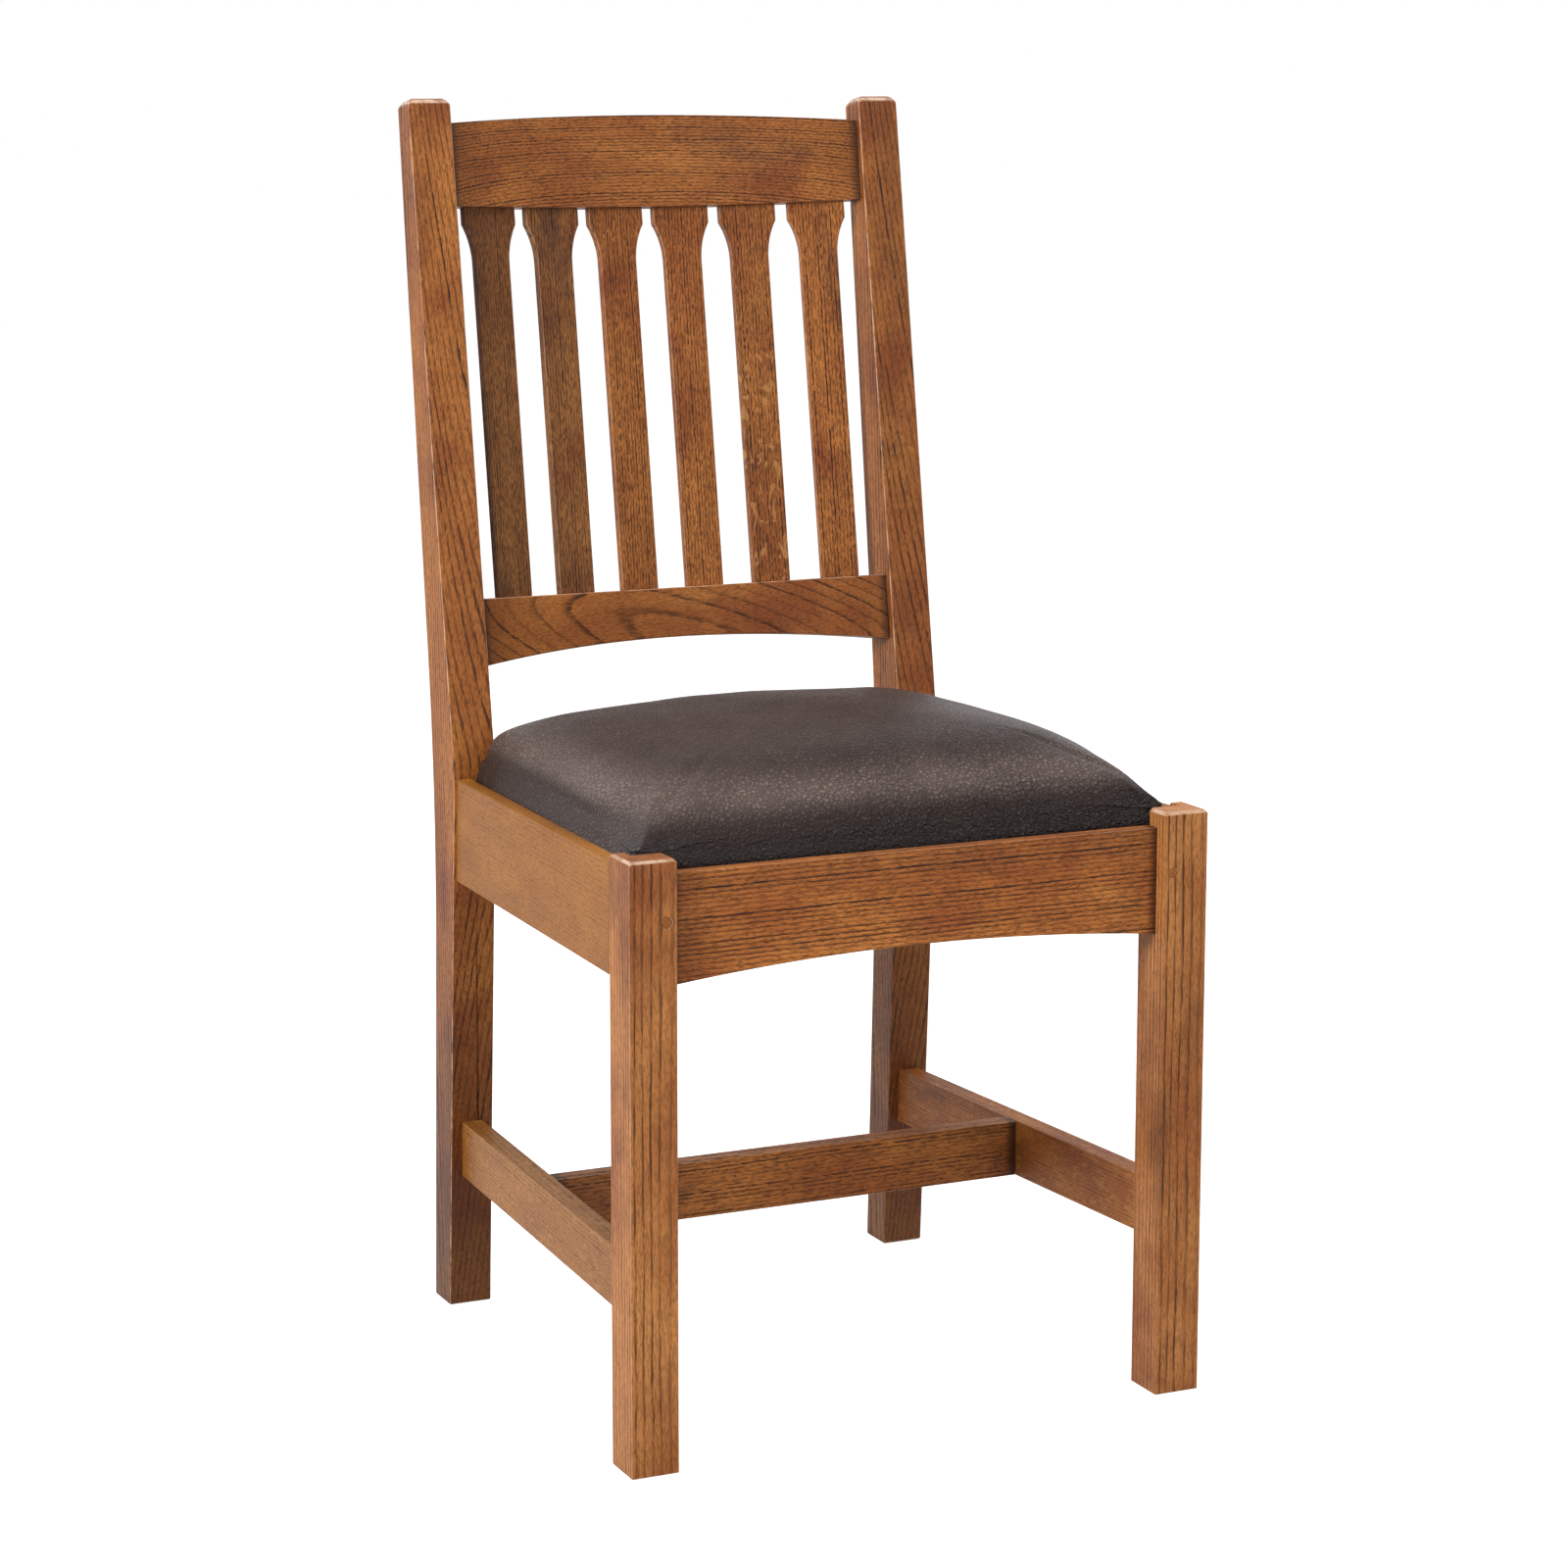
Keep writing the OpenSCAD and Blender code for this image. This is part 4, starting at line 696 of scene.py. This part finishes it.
def ring_mesh(name, first, rings, last):
    """Closed mesh from a first point through rings of equal count to a last point."""
    count = len(rings[0])
    points = [tuple(first)] + [tuple(p) for ring in rings for p in ring] + [tuple(last)]
    end = len(points) - 1
    faces = [(0, 1 + i, 1 + (i + 1) % count) for i in range(count)]
    for r in range(len(rings) - 1):
        near = 1 + r * count
        far = near + count
        for i in range(count):
            j = (i + 1) % count
            faces.append((near + i, far + i, far + j, near + j))
    base = end - count
    faces += [(end, base + (i + 1) % count, base + i) for i in range(count)]
    mesh = bpy.data.meshes.new(name)
    mesh.from_pydata(points, [], faces)
    mesh.update()
    return mesh


def linked(name, data):
    """A new object of the scene."""
    made = bpy.data.objects.new(name, data)
    bpy.context.scene.collection.objects.link(made)
    return made


def side_rings(slack=0.0):
    """Rings of the seat's side, from under the shoulder down to its lowest edge."""
    low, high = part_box("seat_cover")
    board_top = low.z + LEATHER_THICK + BOARD_THICK
    shoulder = high.z - SEAT_CROWN - slack
    rings = []
    for i in range(1, WALL_STEPS + 1):
        share = i / WALL_STEPS
        drop = 1 - share
        rings.append(level_ring(slack + SEAT_LEAN * drop ** LEAN_POWER,
                                shoulder + (board_top - shoulder) * share, SEAT_DRAW * drop))
    return rings


def under_rings():
    """Rings of the leather turned under the board and back up round it, to the board's top."""
    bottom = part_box("seat_cover")[0].z
    board_bottom = bottom + LEATHER_THICK
    board_top = board_bottom + BOARD_THICK
    inner = LEATHER_THICK + LAYER_GAP * 0.5
    # Round the lowest edge, in under the board to the cut edge, and back over it
    return [level_ring(0.0, bottom + LEATHER_THICK * 1.6),
            level_ring(LEATHER_THICK * 0.35, bottom + LEATHER_THICK * 0.5),
            level_ring(LEATHER_THICK * 1.2, bottom),
            level_ring(LEATHER_TURN * 0.5, bottom),
            level_ring(LEATHER_TURN - CUT_EASE, bottom),
            level_ring(LEATHER_TURN - CUT_EDGE, bottom + LEATHER_THICK * 0.3),
            level_ring(LEATHER_TURN, board_bottom - HAIR),
            level_ring(LEATHER_TURN * 0.5, board_bottom - HAIR),
            level_ring(inner, board_bottom - HAIR),
            level_ring(inner, (board_bottom + board_top) / 2),
            level_ring(inner, board_top + HAIR)]


def places(mesh):
    """The places of a mesh's points, one row each."""
    flat = np.empty(len(mesh.vertices) * 3)
    mesh.vertices.foreach_get("co", flat)
    return flat.reshape(-1, 3)


def outward(mesh):
    """The normals at a mesh's points, one row each."""
    return np.array([v.normal for v in mesh.vertices])


def pressed_out():
    """The padding's pressure under the leather, as a short cloth simulation of a slightly
    smaller form. Returns the tree of the resulting surface."""
    low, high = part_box("seat_cover")
    held = low.z + LEATHER_THICK + BOARD_THICK + HELD_ABOVE_BOARD
    rings, peak = crown_rings(SIM_CROWN_STEPS, SLACK)
    rings += side_rings(SLACK)
    foot = low.z + LEATHER_THICK
    rings.append(level_ring(SLACK, foot))
    rough = linked("rough_seat", ring_mesh("rough_seat", peak, rings,
                                           (0.0, (low.y + high.y) / 2, foot)))
    even = rough.modifiers.new("Even", "REMESH")
    even.mode = "VOXEL"
    even.voxel_size = VOXEL
    graph = bpy.context.evaluated_depsgraph_get()
    mesh = bpy.data.meshes.new_from_object(rough.evaluated_get(graph))
    rough.modifiers.clear()
    rough.data = mesh
    start = places(mesh)
    pinned = rough.vertex_groups.new(name="held")
    pinned.add([int(i) for i in np.flatnonzero(start[:, 2] < held)], 1.0, "REPLACE")
    cloth = rough.modifiers.new("Cloth", "CLOTH").settings
    cloth.quality = CLOTH_QUALITY
    cloth.mass = CLOTH_MASS
    for name, stiffness in CLOTH_STIFFNESS.items():
        setattr(cloth, name, stiffness)
    cloth.use_pressure = True
    cloth.uniform_pressure_force = PADDING_PRESSURE
    cloth.effector_weights.gravity = 0.0
    cloth.vertex_group_mass = "held"
    scene = bpy.context.scene
    for step in range(1, SIM_FRAMES + 1):
        scene.frame_set(step)
    graph = bpy.context.evaluated_depsgraph_get()
    end = places(rough.evaluated_get(graph).to_mesh())
    rough.evaluated_get(graph).to_mesh_clear()
    scene.frame_set(1)
    # No point moves further than its share of the cap, which grows with its height
    moved = end - start
    far = np.linalg.norm(moved, axis=1)
    cap = CAP * smooth_step(start[:, 2], held, held + CAP_RISE)
    moved *= (np.minimum(far, cap) / np.maximum(far, 1e-9))[:, None]
    end = start + moved
    surface = BVHTree.FromPolygons([tuple(p) for p in end],
                                   [tuple(f.vertices) for f in mesh.polygons])
    bpy.data.objects.remove(rough)
    bpy.data.meshes.remove(mesh)
    most = float(np.minimum(far, cap).max()) * 1000
    print("seat simulation: moved at most", round(most, 2), "mm")
    return surface


def smooth_step(value, low, high):
    """0 below low, 1 above high and smooth between them."""
    t = np.clip((value - low) / (high - low), 0.0, 1.0)
    return t * t * (3 - 2 * t)


def bell(value, middle, width):
    """1 in the middle, fading out over the width each way."""
    return np.exp(-((value - middle) / width) ** 2)


def noise_at(points, scale, seed):
    """Smooth noise from -1 to 1 at each point."""
    return np.array([noise.noise(Vector(p) * scale + seed) for p in points])


def leather_details(points):
    """How far each point moves out along its normal, for the pleats at the seat's corners, the
    puckers beside them, the roll at the padding's edge, and the padding's fullness and
    unevenness."""
    low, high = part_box("seat_cover")
    board_top = low.z + LEATHER_THICK + BOARD_THICK
    shoulder = high.z - SEAT_CROWN
    height = points[:, 2]
    # 1 on what shows of the side, and on the part of it under the shoulder
    side = smooth_step(height, board_top + SIDE_FROM, board_top + SIDE_FULL)
    wall = side * (1 - smooth_step(height, shoulder + WALL_EASES, shoulder + WALL_ENDS))
    out = np.zeros(len(points))
    for sx, half, y, way in ((1, SEAT_HALF_FRONT, low.y, 1), (-1, SEAT_HALF_FRONT, low.y, 1),
                             (1, SEAT_HALF_BACK, high.y, -1), (-1, SEAT_HALF_BACK, high.y, -1)):
        bisector = np.array((-sx, way)) / math.sqrt(2)
        offset = points[:, :2] - np.array((sx * half, y))
        along = offset @ bisector
        across = offset @ np.array((-bisector[1], bisector[0]))
        near = 1 - smooth_step(along, PLEAT_START, PLEAT_REACH)
        fold = bell(across, PLEAT_ASIDE, PLEAT_WIDTH)
        lips = bell(np.abs(across), LIP_AWAY * PLEAT_WIDTH, LIP_WIDTH * PLEAT_WIDTH)
        out += (-PLEAT_DEPTH * fold + LIP_SHARE * PLEAT_DEPTH * lips) * near * side
        # Puckers that run up from the edge where the leather is gathered towards the corner
        beside = bell(np.abs(across), PUCKER_AWAY, PUCKER_FIELD)
        out += PUCKER * beside * wall * np.cos(np.abs(across) * 2 * math.pi / PUCKER_PITCH)
    # The leather rolls over the edge of the padding, and lies a little hollow inside the roll
    above = height - shoulder
    roll = bell(above, ROLL_UP, ROLL_WIDE) - HOLLOW_SHARE * bell(above, HOLLOW_UP, HOLLOW_WIDE)
    out += ROLL * roll * (1 - near_corner(points))
    # The padding is fuller along the sides and the back than the leather over the front
    full = smooth_step(above, 0.0, FULL_UP) * (1 - smooth_step(above, FULL_EASES, FULL_ENDS))
    out += FULLNESS * full * smooth_step(points[:, 1] - low.y, FULL_FROM_FRONT, FULL_TO_BACK)
    top = smooth_step(height, shoulder + TOP_FROM, shoulder + TOP_FULL)
    uneven = noise_at(points, UNEVEN_SCALE, UNEVEN_SEED)
    finer = noise_at(points, FINER_SCALE, FINER_SEED)
    return out + top * (UNEVEN * uneven + FINER_SHARE * UNEVEN * finer - UNEVEN_LEVEL * UNEVEN)


def follow(surface, points, normals, low_y, board_top):
    """Moves each point along its normal towards the simulated surface, within the limits."""
    for point, normal in zip(points, normals):
        spot, way = Vector(point), Vector(normal)
        hit = surface.ray_cast(spot - way * RAY_BACK, way, 2 * RAY_BACK)[0]
        if hit is None:
            continue
        share = float(smooth_step(point[2], board_top, board_top + HELD_ABOVE_BOARD * FOLLOW_RISE))
        # The padding is softer along the front
        soft = float(1 - smooth_step(point[1] - low_y, SOFT_FROM, SOFT_TO))
        step = max(-IN_LIMIT - FRONT_SOFT * soft, min((hit - spot).dot(way), OUT_LIMIT))
        point += normal * step * share


def make_leather():
    """The leather drawn over its padding, closed round the board."""
    low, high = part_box("seat_cover")
    surface = pressed_out()
    rings, peak = crown_rings(CROWN_STEPS)
    rings += side_rings()
    seen_count = 1 + len(rings) * len(rings[0])
    rings += under_rings()
    board_top = low.z + LEATHER_THICK + BOARD_THICK
    mesh = ring_mesh("seat_leather", peak, rings, (0.0, (low.y + high.y) / 2, board_top + HAIR))
    points, normals = places(mesh), outward(mesh)
    if surface is not None:
        follow(surface, points[:seen_count], normals[:seen_count], low.y, board_top)
        mesh.vertices.foreach_set("co", points.ravel())
        mesh.update()
        normals = outward(mesh)
    moves = leather_details(points)
    moves[seen_count:] = 0.0
    points += normals * moves[:, None]
    mesh.vertices.foreach_set("co", points.ravel())
    for face in mesh.polygons:
        face.use_smooth = True
    mesh.update()
    leather = linked("seat_leather", mesh)
    finer = leather.modifiers.new("Finer", "SUBSURF")
    finer.levels = finer.render_levels = 1
    mesh.materials.append(hide())
    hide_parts("seat_cover", "seat_foam")
    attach(leather, "slip_seat")


# ---- Camera, light and floor ----

def make_camera():
    camera = linked("camera", bpy.data.cameras.new("camera"))
    camera.data.lens = CAMERA_LENS
    camera.data.sensor_width = SENSOR
    camera.data.shift_y = CAMERA_SHIFT
    camera.matrix_world = (Matrix.Translation(CAMERA_PLACE)
                           @ Matrix.Rotation(math.radians(CAMERA_YAW), 4, "Z")
                           @ Matrix.Rotation(math.radians(CAMERA_TILT), 4, "X")
                           @ Matrix.Rotation(math.radians(CAMERA_ROLL), 4, "Z"))
    bpy.context.scene.camera = camera


def area_light(name, place, size, power, colour):
    light = linked(name, bpy.data.lights.new(name, "AREA"))
    light.data.shape = "DISK"
    light.data.size = size
    light.data.energy = power
    light.data.color = colour
    light.location = place
    light.rotation_euler = (Vector(AIM) - Vector(place)).to_track_quat("-Z", "Y").to_euler()


def seen(n):
    """1 where the ray comes from the camera, a reflection or through glass."""
    path = n.add("ShaderNodeLightPath").outputs
    return n.math("MAXIMUM", n.math("MAXIMUM", path["Is Camera Ray"], path["Is Glossy Ray"]),
                  path["Is Transmission Ray"])


def make_world():
    world = bpy.data.worlds.new("studio")
    bpy.context.scene.world = world
    world.use_nodes = True
    n = Nodes(world.node_tree)
    up = n.split(n.add("ShaderNodeTexCoord").outputs["Generated"])[2]
    strength = n.between(up, *WORLD_SPAN, WORLD_LOW, WORLD_HIGH)
    soft = n.add("ShaderNodeBackground", {"Color": WORLD_COLOUR, "Strength": strength})
    white = n.add("ShaderNodeBackground", {"Color": (1.0, 1.0, 1.0), "Strength": 1.0})
    joined = n.add("ShaderNodeMixShader", {0: seen(n), 1: soft.outputs[0], 2: white.outputs[0]})
    n.add("ShaderNodeOutputWorld", {"Surface": joined.outputs[0]})


def make_floor():
    mesh = bpy.data.meshes.new("floor")
    h = FLOOR_HALF
    corners = ((-h, -h), (h, -h), (h, h), (-h, h))
    mesh.from_pydata([(x, y, -FLOOR_DROP) for x, y in corners], [], [(0, 1, 2, 3)])
    floor = linked("floor", mesh)
    material, n = new_material("floor")
    matt = n.add("ShaderNodeBsdfDiffuse", {"Color": FLOOR_COLOUR})
    glow = n.add("ShaderNodeEmission", {"Color": (1.0, 1.0, 1.0),
                                        "Strength": n.math("MULTIPLY", seen(n), FLOOR_GLOW)})
    both = n.add("ShaderNodeAddShader", {0: matt.outputs[0], 1: glow.outputs[0]})
    n.add("ShaderNodeOutputMaterial", {"Surface": both.outputs[0]})
    mesh.materials.append(material)


scene = bpy.context.scene
scene.view_settings.view_transform = "Standard"
make_camera()
make_world()
make_floor()
area_light("key", **KEY)
area_light("fill", **FILL)
area_light("top", **TOP)
area_light("rim", **RIM)
dress_frame()
dress_fittings()
make_leather()
